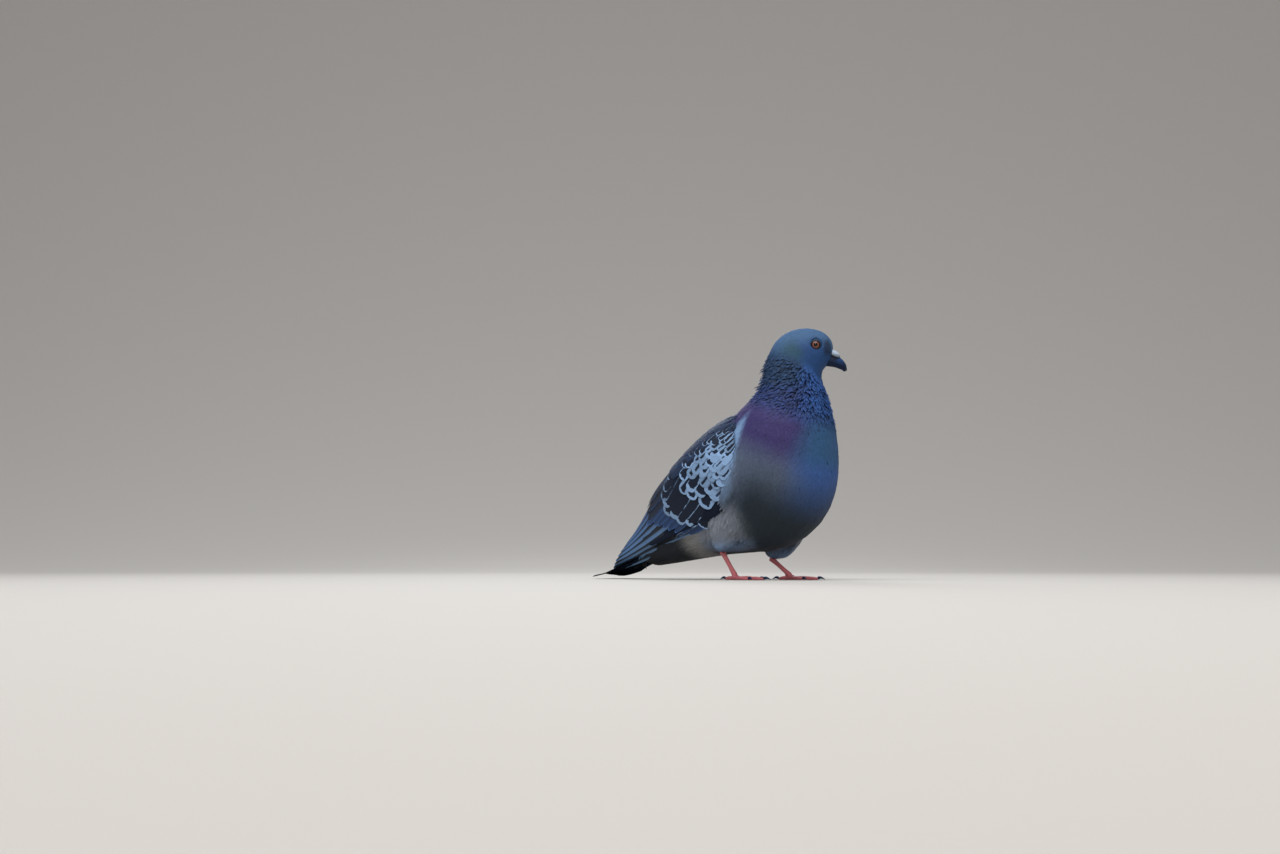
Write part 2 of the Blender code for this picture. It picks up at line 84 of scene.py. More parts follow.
class PigeonColours(bpy.types.PropertyGroup):
    # The crown colour holds painted light from above, so the top of the head is lighter than the cheek.
    crown: colour("Crown", "Blue-grey on the top of the head", 59, 91, 126)
    cheek: colour("Cheek", "Side of the head and throat", 25, 64, 112)
    hackle: colour("Hackles", "Dark raised feathers of the upper neck", 30, 60, 96)
    green: colour("Green gloss", "Gloss of the nape and of the front of the neck", 42, 83, 91)
    indigo: colour("Indigo gloss", "Gloss of the middle of the neck", 38, 55, 108)
    purple: colour("Purple gloss", "Gloss of the lower neck", 51, 41, 92)
    breast: colour("Breast", "Grey of the side of the breast", 81, 93, 113)
    front: colour("Breast front", "Blue of the front of the breast", 44, 83, 146)
    # The belly's dark slate is partly painted shade of the underside, which the light from above leaves dark.
    belly: colour("Belly", "Dark slate of the belly", 17, 31, 42)
    flank: colour("Flank", "Warm grey of the loose flank feathers", 132, 138, 149)
    vent: colour("Vent", "Pale feathers behind the legs", 128, 128, 128)
    thigh: colour("Thigh", "Pale blue-grey of the feathered thighs", 129, 160, 201)
    streak: colour("Wing streak", "Pale feathers in front of the folded wing", 118, 148, 184)
    mantle: colour("Mantle", "Dark feathers of the back and shoulders", 33, 47, 72)
    rump: colour("Rump", "Pale grey between the wings", 126, 138, 152)
    wing_pale: colour("Wing edges", "Whitish edges of the wing coverts", 125, 152, 185)
    wing_dark: colour("Wing centres", "Dark centres of the wing coverts", 16, 26, 44)
    # The primaries' light blue is partly their own grey and partly painted reflection of the sky on their
    # outer webs.
    primary: colour("Primaries", "Outer webs of the outer flight feathers", 90, 120, 152)
    secondary: colour("Secondaries", "Outer webs of the inner flight feathers", 47, 81, 133)
    tail: colour("Tail", "Nearly black tail feathers", 12, 17, 25)
    leg: colour("Legs", "Salmon-pink scales", 216, 118, 122)
    cere: colour("Cere", "Whitish skin over the nostrils", 190, 204, 222)
    horn: colour("Horn", "Bill and claws", 22, 43, 75)
    iris: colour("Iris", "Orange-brown ring of the eye", 139, 82, 60)


class PigeonSizes(bpy.types.PropertyGroup):
    skin_cell: length("Skin cell", "Size of the skin's faces", 1.5)
    horn_cell: length("Horn cell", "Size of the faces of the bill", 0.35)
    fine_cell: length("Fine cell", "Size of the faces of claws and cere", 0.3)
    leg_cell: length("Leg cell", "Size of the faces of the bare legs", 0.45)
    vane_thickness: length("Vane thickness", "Of a large feather", 0.12)
    pupil: length("Pupil", "Its width", 3.5)
    iris: length("Iris", "Its width", 6.7)
    seed: IntProperty(name="Seed", description="Of the small differences between feathers", default=7)


def colours():
    """The colours by name, as linear values."""
    chosen = bpy.context.scene.pigeon_colours
    return {name: np.array(getattr(chosen, name)) for name in PigeonColours.__annotations__}


def sizes():
    """The lengths and the seed that the user can change."""
    return bpy.context.scene.pigeon_sizes


# ---------------------------------------------------------------- places in the frame

# The nodes that one skin stands for.
FLESH = (
    "head",
    "neck",
    "trunk",
    "thigh_left",
    "thigh_right",
    "wing_left_coverts",
    "wing_right_coverts",
    "wing_left_secondaries",
    "wing_right_secondaries",
)

# Middle line of the bird, bill to tail: the node in whose box a point is given, and its shares of that box.
# A place along it is called a station: 0 at the bill, 1 eye, 3 nape, 5 mid neck, 7 shoulder, 13 tail root.
BODY_AXIS = (
    ("head", 0.92, 0.81, 0.46),
    ("head", 0.81, 0.73, 0.59),
    ("head", 0.58, 0.58, 0.56),
    ("head", 0.48, 0.51, 0.44),
    ("neck", 0.59, 0.51, 0.83),
    ("neck", 0.58, 0.51, 0.63),
    ("neck", 0.57, 0.51, 0.41),
    ("neck", 0.50, 0.50, 0.18),
    ("trunk", 0.73, 0.50, 0.75),
    ("trunk", 0.67, 0.50, 0.57),
    ("trunk", 0.58, 0.50, 0.38),
    ("trunk", 0.45, 0.50, 0.21),
    ("trunk", 0.28, 0.50, 0.14),
    ("trunk", 0.05, 0.50, 0.03),
)
AXIS_STEPS = 10  # points from one named point of the axis to the next
AXIS_BLEND = 7 * MM  # how widely neighbouring parts of the axis are averaged
TURNED = (3.0, 8.0)  # stations between which the head's turn fades out
AT_A_TIME = 20000  # places read in one go


def box(node):
    low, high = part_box(node)
    return np.array(low), np.array(high)


def within(node, *shares):
    """A point given by its shares of a node's box."""
    low, high = box(node)
    return low + (high - low) * np.array(shares)


def middle(node):
    return within(node, 0.5, 0.5, 0.5)


def centre_and_half(node):
    """The middle of a node's box and half its sizes."""
    low, high = box(node)
    return (low + high) / 2, (high - low) / 2


def between_eyes():
    return (middle("eye_left") + middle("eye_right")) / 2


def bill_way():
    """The level direction from between the eyes to the bill."""
    return unit((middle("cere") - between_eyes()) * (1, 1, 0))


def unit(vectors):
    """Vectors of length 1."""
    return vectors / np.maximum(np.linalg.norm(vectors, axis=-1, keepdims=True), 1e-12)


def dot(first, second):
    return np.einsum("...c,...c->...", first, second)


def off_line(away, way):
    """How far places lie from a line, given from a point of it."""
    return np.linalg.norm(away - np.outer(away @ way, way), axis=1)


def ramp(values, start, end):
    """0 before start, 1 after end and smooth between them. The end may be the smaller one."""
    t = np.clip((values - start) / (end - start), 0.0, 1.0)
    return t * t * (3 - 2 * t)


def blend(first, second, share):
    share = np.asarray(share)[..., None]
    return first * (1 - share) + second * share


def curve_between(points, steps):
    """Points on a smooth curve through the given ones, with steps from each to the next."""
    points = np.asarray(points, float)
    padded = np.vstack((2 * points[0] - points[1], points, 2 * points[-1] - points[-2]))
    t = np.arange(steps)[:, None] / steps
    runs = []
    for k in range(len(points) - 1):
        a, b, c, d = padded[k : k + 4]
        bend = (2 * a - 5 * b + 4 * c - d) * t**2 + (3 * b - a - 3 * c + d) * t**3
        runs.append(0.5 * (2 * b + (c - a) * t + bend))
    return np.vstack((*runs, points[-1:]))


def filled(grid):
    """A grid with its gaps filled from the known values of each row, and empty rows from the next ones."""
    rows, columns = grid.shape
    for row in grid:
        known = np.flatnonzero(~np.isnan(row))
        if len(known):
            row[:] = np.interp(np.arange(columns), known, row[known])
    whole = np.flatnonzero(~np.isnan(grid[:, 0]))
    for column in grid.T:
        column[:] = np.interp(np.arange(rows), whole, column[whole])
    return grid


def read_grid(grid, rows, columns, row, column):
    """Values of a grid at places given by its evenly spaced rows and columns."""
    i = np.clip((row - rows[0]) / (rows[1] - rows[0]), 0, len(rows) - 1.001)
    j = np.clip((column - columns[0]) / (columns[1] - columns[0]), 0, len(columns) - 1.001)
    low_i = i.astype(int)
    low_j = j.astype(int)
    u = i - low_i
    v = j - low_j
    near = grid[low_i, low_j] * (1 - u) + grid[low_i + 1, low_j] * u
    far = grid[low_i, low_j + 1] * (1 - u) + grid[low_i + 1, low_j + 1] * u
    return near * (1 - v) + far * v


class BodyAxis:
    """The middle line of the bird, with what is known of a point from its place beside that line."""

    def __init__(self):
        self.points = curve_between([within(*row) for row in BODY_AXIS], AXIS_STEPS)
        self.stations = np.arange(len(self.points)) / AXIS_STEPS
        self.ways = unit(np.gradient(self.points, axis=0))
        ahead = middle("cere") - between_eyes()
        turn = math.atan2(ahead[1], ahead[0]) * (1 - ramp(self.stations, *TURNED))
        self.lefts = np.stack((-np.sin(turn), np.cos(turn), np.zeros_like(turn)), axis=1)
        self.fronts = unit(np.cross(self.ways, self.lefts))

    def read(self, places):
        """For each place: its station, the body's way there, how ventral and how far left (-1 to 1)."""
        found = [np.empty((0, 6))]
        for part in np.array_split(places, max(1, len(places) // AT_A_TIME)):
            apart = part[:, None] - self.points[None]
            square = np.einsum("nkc,nkc->nk", apart, apart)
            weight = np.exp((square.min(axis=1, keepdims=True) - square) / (2 * AXIS_BLEND**2))
            weight /= weight.sum(axis=1, keepdims=True)
            away = unit(part - weight @ self.points)
            front = dot(away, weight @ self.fronts)
            left = dot(away, weight @ self.lefts)
            found.append(np.column_stack((weight @ self.stations, unit(weight @ self.ways), front, left)))
        table = np.vstack(found)
        return table[:, 0], table[:, 1:4], table[:, 4], table[:, 5]

    def combed(self, station, way, front):
        """The way of the feathers: on the sides of the neck they also turn towards the nape."""
        swept = ramp(station, 2.2, 3.2) * ramp(station, 7.4, 5.6) * ramp(front, 0.95, -0.3)
        fronts = np.stack([np.interp(station, self.stations, column) for column in self.fronts.T], axis=1)
        return way - fronts * swept[:, None]


# Sizes of the small feathers by station (mm).
COAT_STATIONS = (0.0, 1.0, 2.6, 3.6, 5.0, 6.6, 9.0, 11.0, 12.2, 13.0)
COAT_SPACING = (0.62, 0.72, 0.92, 1.35, 1.40, 1.25, 1.30, 1.15, 1.30, 1.70)
COAT_LENGTH = (1.8, 3.0, 4.4, 5.8, 6.4, 6.0, 6.4, 9.0, 12.0, 16.0)
COAT_WIDTH = (1.05, 1.35, 1.75, 2.05, 2.10, 2.05, 2.15, 1.60, 1.80, 2.80)
COAT_DEPTH = (0.35, 0.40, 0.70, 1.50, 1.80, 1.05, 0.90, 1.20, 1.30, 1.40)
COAT_THICKNESS = (0.05, 0.05, 0.07, 0.12, 0.12, 0.08, 0.07, 0.08, 0.10, 0.12)


def by_station(stations, values):
    """Sizes (m) read from a row of values by station (mm)."""
    return np.interp(stations, COAT_STATIONS, values) * MM


# ---------------------------------------------------------------- meshes


def select_only(*items):
    bpy.ops.object.select_all(action="DESELECT")
    for item in items:
        item.select_set(True)
    bpy.context.view_layer.objects.active = items[0]


@contextlib.contextmanager
def editing(item):
    """Edit mode with all of an object selected."""
    select_only(item)
    bpy.ops.object.mode_set(mode="EDIT")
    bpy.ops.mesh.select_all(action="SELECT")
    yield
    bpy.ops.object.mode_set(mode="OBJECT")


def merge_corners(item, distance):
    """Joins corners that coincide, and points the faces outwards."""
    with editing(item):
        bpy.ops.mesh.remove_doubles(threshold=distance)
        bpy.ops.mesh.normals_make_consistent(inside=False)


def new_object(name, mesh):
    item = bpy.data.objects.new(name, mesh)
    bpy.context.scene.collection.objects.link(item)
    return item


def apply_modifier(item, kind, **values):
    """Adds a modifier to an object and applies it."""
    step = item.modifiers.new(kind.title(), kind)
    for name, value in values.items():
        setattr(step, name, value)
    select_only(item)
    bpy.ops.object.modifier_apply(modifier=step.name)


def copy_of_nodes(name, nodes):
    """One object made of copies of CAD nodes, with their corners merged."""
    copies = [new_object(name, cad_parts[node].data.copy()) for node in nodes]
    select_only(*copies)
    if len(copies) > 1:
        bpy.ops.object.join()
    item = bpy.context.view_layer.objects.active
    item.name = name
    item.data.name = name
    merge_corners(item, 0.01 * MM)
    return item


def values_of(things, name, width, kind=float):
    """A table with one row of values for each thing of a mesh."""
    found = np.empty(len(things) * width, dtype=kind)
    things.foreach_get(name, found)
    return found.reshape(-1, width)


def corners_of(mesh):
    return values_of(mesh.vertices, "co", 3)


def normals_of(mesh):
    return values_of(mesh.vertex_normals, "vector", 3)


def place_corners(mesh, corners):
    mesh.vertices.foreach_set("co", np.ascontiguousarray(corners, dtype=np.float32).ravel())
    mesh.update()


def paint(mesh, name, rgb):
    """Stores a colour for each corner."""
    layer = mesh.color_attributes.new(name=name, type="FLOAT_COLOR", domain="POINT")
    rgba = np.ones((len(mesh.vertices), 4), dtype=np.float32)
    rgba[:, :3] = rgb
    layer.data.foreach_set("color", rgba.ravel())


def smooth_faces(mesh):
    mesh.polygons.foreach_set("use_smooth", np.ones(len(mesh.polygons), dtype=bool))
    mesh.update()


def refined(name, nodes, cell, rounds):
    """A finer, smoother copy of CAD nodes as one closed surface."""
    item = copy_of_nodes(name, nodes)
    item.data.materials.clear()
    apply_modifier(item, "REMESH", mode="VOXEL", voxel_size=cell)
    apply_modifier(item, "SMOOTH", factor=0.5, iterations=rounds)
    smooth_faces(item.data)
    return item


def finish_piece(item, slot, material, *replaced):
    """Gives a piece its material and its body, and hides the CAD nodes that it stands for; its slot is not
    used.
    """
    item.data.materials.append(material)
    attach(item, "root")
    if replaced:
        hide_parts(*replaced)


class Owners:
    """Tells which CAD node lies closest to a place."""

    def __init__(self, nodes):
        corners = []
        faces = []
        owner = []
        for number, name in enumerate(nodes):
            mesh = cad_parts[name].data
            mesh.calc_loop_triangles()
            start = len(corners)
            corners += corners_of(mesh).tolist()
            faces += [tuple(start + v for v in triangle.vertices) for triangle in mesh.loop_triangles]
            owner += [number] * len(mesh.loop_triangles)
        self.tree = BVHTree.FromPolygons(corners, faces)
        self.owner = np.array(owner)

    def of(self, places):
        """The number of the closest node for each place."""
        return self.owner[[self.tree.find_nearest(place)[2] for place in places.tolist()]]


TRIES = 7  # places tried for each that a surface has room for


class Surface:
    """A mesh that feathers are laid on, with smooth normals and its bake map."""

    def __init__(self, item):
        mesh = item.data
        mesh.calc_loop_triangles()
        self.corners = corners_of(mesh)
        self.normals = normals_of(mesh)
        self.triangles = values_of(mesh.loop_triangles, "vertices", 3, np.int32)
        self.loops = values_of(mesh.loop_triangles, "loops", 3, np.int32)
        self.tree = BVHTree.FromPolygons(self.corners.tolist(), self.triangles.tolist())
        active = mesh.uv_layers.active
        self.map = values_of(active.data, "uv", 2) if active else np.zeros((len(mesh.loops), 2))

    def nearest(self, places):
        """For each place: the closest point of the surface, its normal and the map's place there."""
        hits = [self.tree.find_nearest(place)[::2] for place in places.tolist()]
        found = np.array([hit[0] for hit in hits])
        face = np.array([hit[1] for hit in hits])
        a, b, c = (self.corners[self.triangles[face, k]] for k in range(3))
        edges = (b - a, c - a, found - a)
        bb, bc, cc, fb, fc = (dot(edges[m], edges[n]) for m, n in ((0, 0), (0, 1), (1, 1), (2, 0), (2, 1)))
        scale = np.maximum(bb * cc - bc * bc, 1e-30)
        share_b = (cc * fb - bc * fc) / scale
        share_c = (bb * fc - bc * fb) / scale
        shares = np.clip(np.stack((1 - share_b - share_c, share_b, share_c), axis=1), 0, 1)
        normal = unit(np.einsum("nk,nkc->nc", shares, self.normals[self.triangles[face]]))
        return found, normal, np.einsum("nk,nkc->nc", shares, self.map[self.loops[face]])

    def scatter(self, spacing_at, random):
        """Points all over the surface, as far apart as spacing_at says (0 leaves a place bare)."""
        a, b, c = (self.corners[self.triangles[:, k]] for k in range(3))
        area = np.linalg.norm(np.cross(b - a, c - a), axis=1) / 2
        spacing = spacing_at((a + b + c) / 3)
        weight = np.where(spacing > 0, area / np.maximum(spacing, 1e-6) ** 2, 0)
        tries = int(weight.sum() * TRIES)
        face = random.choice(len(weight), size=tries, p=weight / weight.sum())
        first = np.sqrt(random.random(tries))
        second = random.random(tries)
        shares = np.stack((1 - first, first * (1 - second), first * second), axis=1)
        places = np.einsum("nk,nkc->nc", shares, self.corners[self.triangles[face]])
        return places[spaced_out(places, spacing[face])]


def spaced_out(places, spacing):
    """Numbers of the places kept when each keeps its distance from those before it."""
    cells = np.floor(places / float(spacing.max())).astype(int).tolist()
    steps = (-1, 0, 1)
    around = [(x, y, z) for x in steps for y in steps for z in steps]
    gaps = (spacing**2).tolist()
    grid = {}
    kept = []
    for number, ((x, y, z), (i, j, k), gap) in enumerate(zip(places.tolist(), cells, gaps)):
        near = (grid.get((i + di, j + dj, k + dk), ()) for di, dj, dk in around)
        if any((p - x) ** 2 + (q - y) ** 2 + (r - z) ** 2 < gap for cell in near for p, q, r in cell):
            continue
        grid.setdefault((i, j, k), []).append((x, y, z))
        kept.append(number)
    return np.array(kept)


# ---------------------------------------------------------------- vanes

PATCH = 0.003  # size of one small feather on the bake map


def both_faces(values):
    """Values of a grid of corners, followed by those of its inner corners, which the underside repeats."""
    flat = values.reshape(*values.shape[:-3], -1, values.shape[-1])
    inner = values[..., 1:-1, 1:-1, :]
    return np.concatenate((flat, inner.reshape(*inner.shape[:-3], -1, inner.shape[-1])), axis=-2)


def vane_faces(rows, columns):
    """Faces of one closed vane, the upper ones turned one way and the lower ones the other, and its rim."""
    upper = np.arange(rows * columns).reshape(rows, columns)
    lower = upper.copy()
    inner = (rows - 2) * (columns - 2)
    lower[1:-1, 1:-1] = rows * columns + np.arange(inner).reshape(rows - 2, columns - 2)
    quads = []
    for r in range(rows - 1):
        for c in range(columns - 1):
            quads.append((upper[r, c], upper[r + 1, c], upper[r + 1, c + 1], upper[r, c + 1]))
            quads.append((lower[r, c], lower[r, c + 1], lower[r + 1, c + 1], lower[r + 1, c]))
    on_rim = np.zeros(rows * columns + inner, dtype=bool)
    on_rim[: rows * columns] = (upper == lower).ravel()
    return np.array(quads), on_rim


def mesh_of_quads(name, corners, faces):
    mesh = bpy.data.meshes.new(name)
    mesh.vertices.add(len(corners))
    mesh.loops.add(faces.size)
    mesh.polygons.add(len(faces))
    mesh.loops.foreach_set("vertex_index", faces.ravel().astype(np.int32))
    mesh.polygons.foreach_set("loop_start", np.arange(0, faces.size, 4, dtype=np.int32))
    place_corners(mesh, corners)
    mesh.update(calc_edges=True)
    smooth_faces(mesh)
    return mesh


def vane_mesh(name, grid, up, along, thickness, paints, spots, patch=PATCH):
    """Many closed vanes as one object.

    grid holds the corners of each vane by row and column, up the direction of its upper face there, and
    along the rows' shares of the length. paints holds colours by vane, row and column, and spots the
    middles of the vanes on the bake map.
    """
    count, rows, columns, _ = grid.shape
    quads, on_rim = vane_faces(rows, columns)
    down_rows = grid[:, 1:, 1:] - grid[:, :-1, 1:]
    over_columns = grid[:, 1:, 1:] - grid[:, 1:, :-1]
    outward = np.broadcast_to(up, grid.shape)[:, 1:, 1:]
    if np.sum(np.cross(down_rows, over_columns) * outward) < 0:
        quads = quads[:, ::-1]
    rise = np.zeros((count, rows, columns, 1))
    rise[:, 1:-1, 1:-1] = np.reshape(thickness, (-1, 1, 1, 1)) / 2
    corners = both_faces(grid + up * rise)
    corners[:, rows * columns :] = (grid - up * rise)[:, 1:-1, 1:-1].reshape(count, -1, 3)
    faces = (quads[None] + (np.arange(count) * len(on_rim))[:, None, None]).reshape(-1, 4)
    mesh = mesh_of_quads(name, corners.reshape(-1, 3), faces)
    ends = values_of(mesh.edges, "vertices", 2, np.int32)
    mesh.edges.foreach_set("use_edge_sharp", on_rim[ends % len(on_rim)].all(axis=1))
    vane = both_faces(np.stack(np.meshgrid(np.linspace(0, 1, columns), along), axis=-1))
    bake = spots[:, None] + (vane[None] - 0.5) * patch
    for label, places in (("OFBake", bake.reshape(-1, 2)), ("Vane", np.tile(vane, (count, 1)))):
        layer = mesh.uv_layers.new(name=label)
        layer.data.foreach_set("uv", places[faces.ravel()].astype(np.float32).ravel())
    for label, rgb in paints.items():
        paint(mesh, label, both_faces(rgb).reshape(-1, 3))
    mesh.uv_layers.active = mesh.uv_layers["OFBake"]
    mesh.validate()
    return new_object(name, mesh)


# ---------------------------------------------------------------- materials


def new_material(name, roughness, **constants):
    """A material with its Principled shader, whose even values are set on the shader's own sockets."""
    made = bpy.data.materials.new(name)
    made.use_nodes = True
    tree = made.node_tree
    shader = tree.nodes["Principled BSDF"]
    shader.inputs["Roughness"].default_value = roughness
    for socket, value in constants.items():
        shader.inputs[socket.replace("_", " ")].default_value = value
    return made, tree, shader


def node(tree, kind, inputs=(), **values):
    """Adds a node, sets its values and joins its inputs, given as (socket, value or output)."""
    made = tree.nodes.new("ShaderNode" + kind)
    for name, value in values.items():
        setattr(made, name, value)
    for socket, value in inputs:
        if isinstance(value, bpy.types.NodeSocket):
            tree.links.new(value, made.inputs[socket])
        else:
            made.inputs[socket].default_value = value
    return made


def painted(tree, name):
    """The colours that a piece was painted with."""
    return node(tree, "VertexColor", layer_name=name).outputs["Color"]


def bump(tree, shader, strength, depth, height):
    """Raises the surface by a height, up to a depth in mm."""
    made = node(tree, "Bump", (("Strength", strength), ("Distance", depth * MM), ("Height", height)))
    tree.links.new(made.outputs[0], shader.inputs["Normal"])


def maths(tree, operation, *values):
    return node(tree, "Math", tuple(enumerate(values)), operation=operation).outputs[0]


def mixed(tree, share, first, second):
    return node(tree, "Mix", ((0, share), (6, first), (7, second)), data_type="RGBA").outputs[2]


def shaded(tree, rgb, shade):
    """A colour times a shade."""
    grey = node(tree, "CombineColor", tuple((k, shade) for k in range(3))).outputs[0]
    made = node(tree, "Mix", ((0, 1.0), (6, rgb), (7, grey)), data_type="RGBA", blend_type="MULTIPLY")
    return made.outputs[2]


def new_group(name, inputs, outputs):
    """An empty shader group with named sockets, and those sockets as seen from inside it."""
    group = bpy.data.node_groups.new(name, "ShaderNodeTree")
    for way, sockets in (("INPUT", inputs), ("OUTPUT", outputs)):
        for label, kind in sockets.items():
            group.interface.new_socket(label, in_out=way, socket_type="NodeSocket" + kind)
    return group, group.nodes.new("NodeGroupInput").outputs, group.nodes.new("NodeGroupOutput").inputs


SHAFT = 0.06  # half the width of a feather's shaft, as a share of its width
WOBBLE = 0.55  # how unevenly a pale edge runs


def barbs_group():
    """Fine slanted barbs on both sides of a shaft, from a vane's own map."""
    if "Barbs" in bpy.data.node_groups:
        return bpy.data.node_groups["Barbs"]
    inputs = {"Vane": "Vector", "Count": "Float", "Slant": "Float"}
    group, given, made = new_group("Barbs", inputs, {"Shade": "Float", "Height": "Float"})
    across, down, _ = node(group, "SeparateXYZ", ((0, given["Vane"]),)).outputs
    off_shaft = maths(group, "ABSOLUTE", maths(group, "SUBTRACT", across, 0.5))
    along = maths(group, "SUBTRACT", down, maths(group, "MULTIPLY", off_shaft, given["Slant"]))
    turns = maths(group, "MULTIPLY", maths(group, "MULTIPLY", along, given["Count"]), 2 * math.pi)
    spot = node(group, "CombineXYZ", ((0, off_shaft), (1, along))).outputs[0]
    uneven = node(group, "TexNoise", (("Vector", spot), ("Scale", 9.0))).outputs[0]
    rough = maths(group, "MULTIPLY_ADD", uneven, 1.6, -0.3)
    ridge = maths(group, "MULTIPLY", maths(group, "SINE", turns), rough)
    shaft = maths(group, "LESS_THAN", off_shaft, SHAFT)
    group.links.new(maths(group, "MULTIPLY_ADD", ridge, 0.16, 1.0), made["Shade"])
    group.links.new(maths(group, "ADD", ridge, shaft), made["Height"])
    return group


def edging_group():
    """How strongly a covert's pale edge shows: broad at the tip, with the dark middle reaching into it."""
    if "Edging" in bpy.data.node_groups:
        return bpy.data.node_groups["Edging"]
    group, given, made = new_group("Edging", {"Vane": "Vector", "Widths": "Color"}, {"Edge": "Float"})
    across, down, _ = node(group, "SeparateXYZ", ((0, given["Vane"]),)).outputs
    side_width, tip_width, number = node(group, "SeparateColor", ((0, given["Widths"]),)).outputs
    off_shaft = maths(group, "MULTIPLY", maths(group, "ABSOLUTE", maths(group, "SUBTRACT", across, 0.5)), 2)
    own = maths(group, "MULTIPLY", number, 40.0)
    spot = node(group, "CombineXYZ", ((0, across), (1, down), (2, own))).outputs[0]
    wander = node(group, "TexNoise", (("Vector", spot), ("Scale", 5.0), ("Detail", 3.0))).outputs[0]
    shift = maths(group, "MULTIPLY", maths(group, "SUBTRACT", wander, 0.5), WOBBLE)
    from_side = maths(group, "ADD", maths(group, "SUBTRACT", 1.0, off_shaft), shift)
    small_shift = maths(group, "MULTIPLY", shift, 0.3)
    from_tip = maths(group, "ADD", maths(group, "SUBTRACT", 1.0, down), small_shift)
    tip_reach = maths(group, "MULTIPLY", tip_width, maths(group, "MULTIPLY_ADD", off_shaft, 0.35, 0.75))
    side = maths(group, "DIVIDE", from_side, maths(group, "MAXIMUM", side_width, 0.001))
    tip = maths(group, "DIVIDE", from_tip, maths(group, "MAXIMUM", tip_reach, 0.001))
    inputs = (("Value", maths(group, "MINIMUM", side, tip)), ("From Min", 1.15), ("From Max", 0.85))
    edge = node(group, "MapRange", inputs, interpolation_type="SMOOTHSTEP")
    group.links.new(edge.outputs[0], made["Edge"])
    return group


def grain_group():
    """A colour made darker and lighter by a texture."""
    if "Grain" in bpy.data.node_groups:
        return bpy.data.node_groups["Grain"]
    inputs = {"Colour": "Color", "Texture": "Float", "Full": "Float", "First": "Float", "Last": "Float"}
    group, given, made = new_group("Grain", inputs, {"Colour": "Color", "Shade": "Float"})
    pairs = (("Value", "Texture"), ("From Max", "Full"), ("To Min", "First"), ("To Max", "Last"))
    shade = node(group, "MapRange", tuple((socket, given[name]) for socket, name in pairs)).outputs[0]
    group.links.new(shaded(group, given["Colour"], shade), made["Colour"])
    group.links.new(shade, made["Shade"])
    return group


class Grain(NamedTuple):
    """How a texture of spots or cells mottles and raises a painted surface."""

    roughness: float
    specular: float
    texture: str
    scale: float
    detail: float
    shades: tuple  # where the texture is 0 and where it is full
    relief: tuple  # strength and depth (mm)
    full: float = 1.0  # the texture's value from which the last shade stays
    feature: str = "F1"  # of the texture's cells: each one's middle (F1), or the seams between them


GRAINS = {
    "plumage_down": Grain(0.9, 0.2, "Noise", 900.0, 4.0, (0.8, 1.1), (0.5, 0.4)),
    "horn": Grain(0.5, 0.18, "Noise", 700.0, 5.0, (0.6, 1.5), (0.25, 0.1)),
    "cere_skin": Grain(0.7, 0.35, "Voronoi", 1700.0, 0.0, (1.0, 0.8), (0.5, 0.15)),
    "eyelid": Grain(0.55, 0.4, "Voronoi", 2600.0, 0.0, (1.0, 1.0), (0.4, 0.1)),
    "leg_scales": Grain(0.5, 0.45, "Voronoi", 900.0, 0.0, (0.74, 1.0), (0.5, 0.15), 0.18, "DISTANCE_TO_EDGE"),
}


def grained_material(name):
    """One of the materials of skin and horn, painted piece by piece."""
    if name in bpy.data.materials:
        return bpy.data.materials[name]
    grain = GRAINS[name]
    made, tree, shader = new_material(name, grain.roughness, Specular_IOR_Level=grain.specular)
    place = node(tree, "TexCoord").outputs["Object"]
    inputs = (("Vector", place), ("Scale", grain.scale), ("Detail", grain.detail))
    settings = {"feature": grain.feature} if grain.texture == "Voronoi" else {}
    texture = node(tree, "Tex" + grain.texture, inputs, **settings).outputs[0]
    inputs = (("Texture", texture), ("Full", grain.full), *zip(("First", "Last"), grain.shades))
    inputs = (("Colour", painted(tree, "plumage")), *inputs)
    shading = node(tree, "Group", inputs, node_tree=grain_group())
    tree.links.new(shading.outputs["Colour"], shader.inputs["Base Color"])
    bump(tree, shader, *grain.relief, shading.outputs["Shade"] if grain.full < 1 else texture)
    return made


def feather_material(name, barbs, slant, roughness, specular, relief, edged=False):
    """Feathers painted by their own colours, with barbs, and a pale edge where they have one."""
    made, tree, shader = new_material(name, roughness, Specular_IOR_Level=specular)
    rgb = painted(tree, "plumage")
    vane = node(tree, "UVMap", uv_map="Vane").outputs[0]
    if edged:
        inputs = (("Vane", vane), ("Widths", painted(tree, "edge_widths")))
        edge = node(tree, "Group", inputs, node_tree=edging_group())
        rgb = mixed(tree, edge.outputs[0], rgb, painted(tree, "edging"))
    inputs = (("Vane", vane), ("Count", barbs), ("Slant", slant))
    barb = node(tree, "Group", inputs, node_tree=barbs_group())
    tree.links.new(shaded(tree, rgb, barb.outputs["Shade"]), shader.inputs["Base Color"])
    bump(tree, shader, relief, 0.1, barb.outputs["Height"])
    return made


# ---------------------------------------------------------------- markings of the body, with painted light and shade

CERE_HALF = 3 * MM  # from the cere's middle to its hind end
EYE_OUT = 8 * MM  # roughly from the middle of the head to an eye


def lore_painted_shade(places):
    """How light the feathers are painted: painted shadow on the lores, between eye and cere, and 1 elsewhere.
    """
    shade = np.ones(len(places))
    to_cere = (middle("cere") - between_eyes()) @ bill_way() - CERE_HALF
    for side in SIDES:
        eye = middle("eye_" + side)
        away = places - eye
        share = away @ bill_way() / to_cere
        near = ramp(np.abs(share - 0.75), 0.40, 0.10) * ramp(away[:, 2], 6 * MM, 2 * MM)
        same_side = away @ (eye - between_eyes()) > -4 * MM * EYE_OUT
        shade *= 1 - 0.65 * near * ramp(away[:, 2], -11 * MM, -6 * MM) * same_side
    return shade


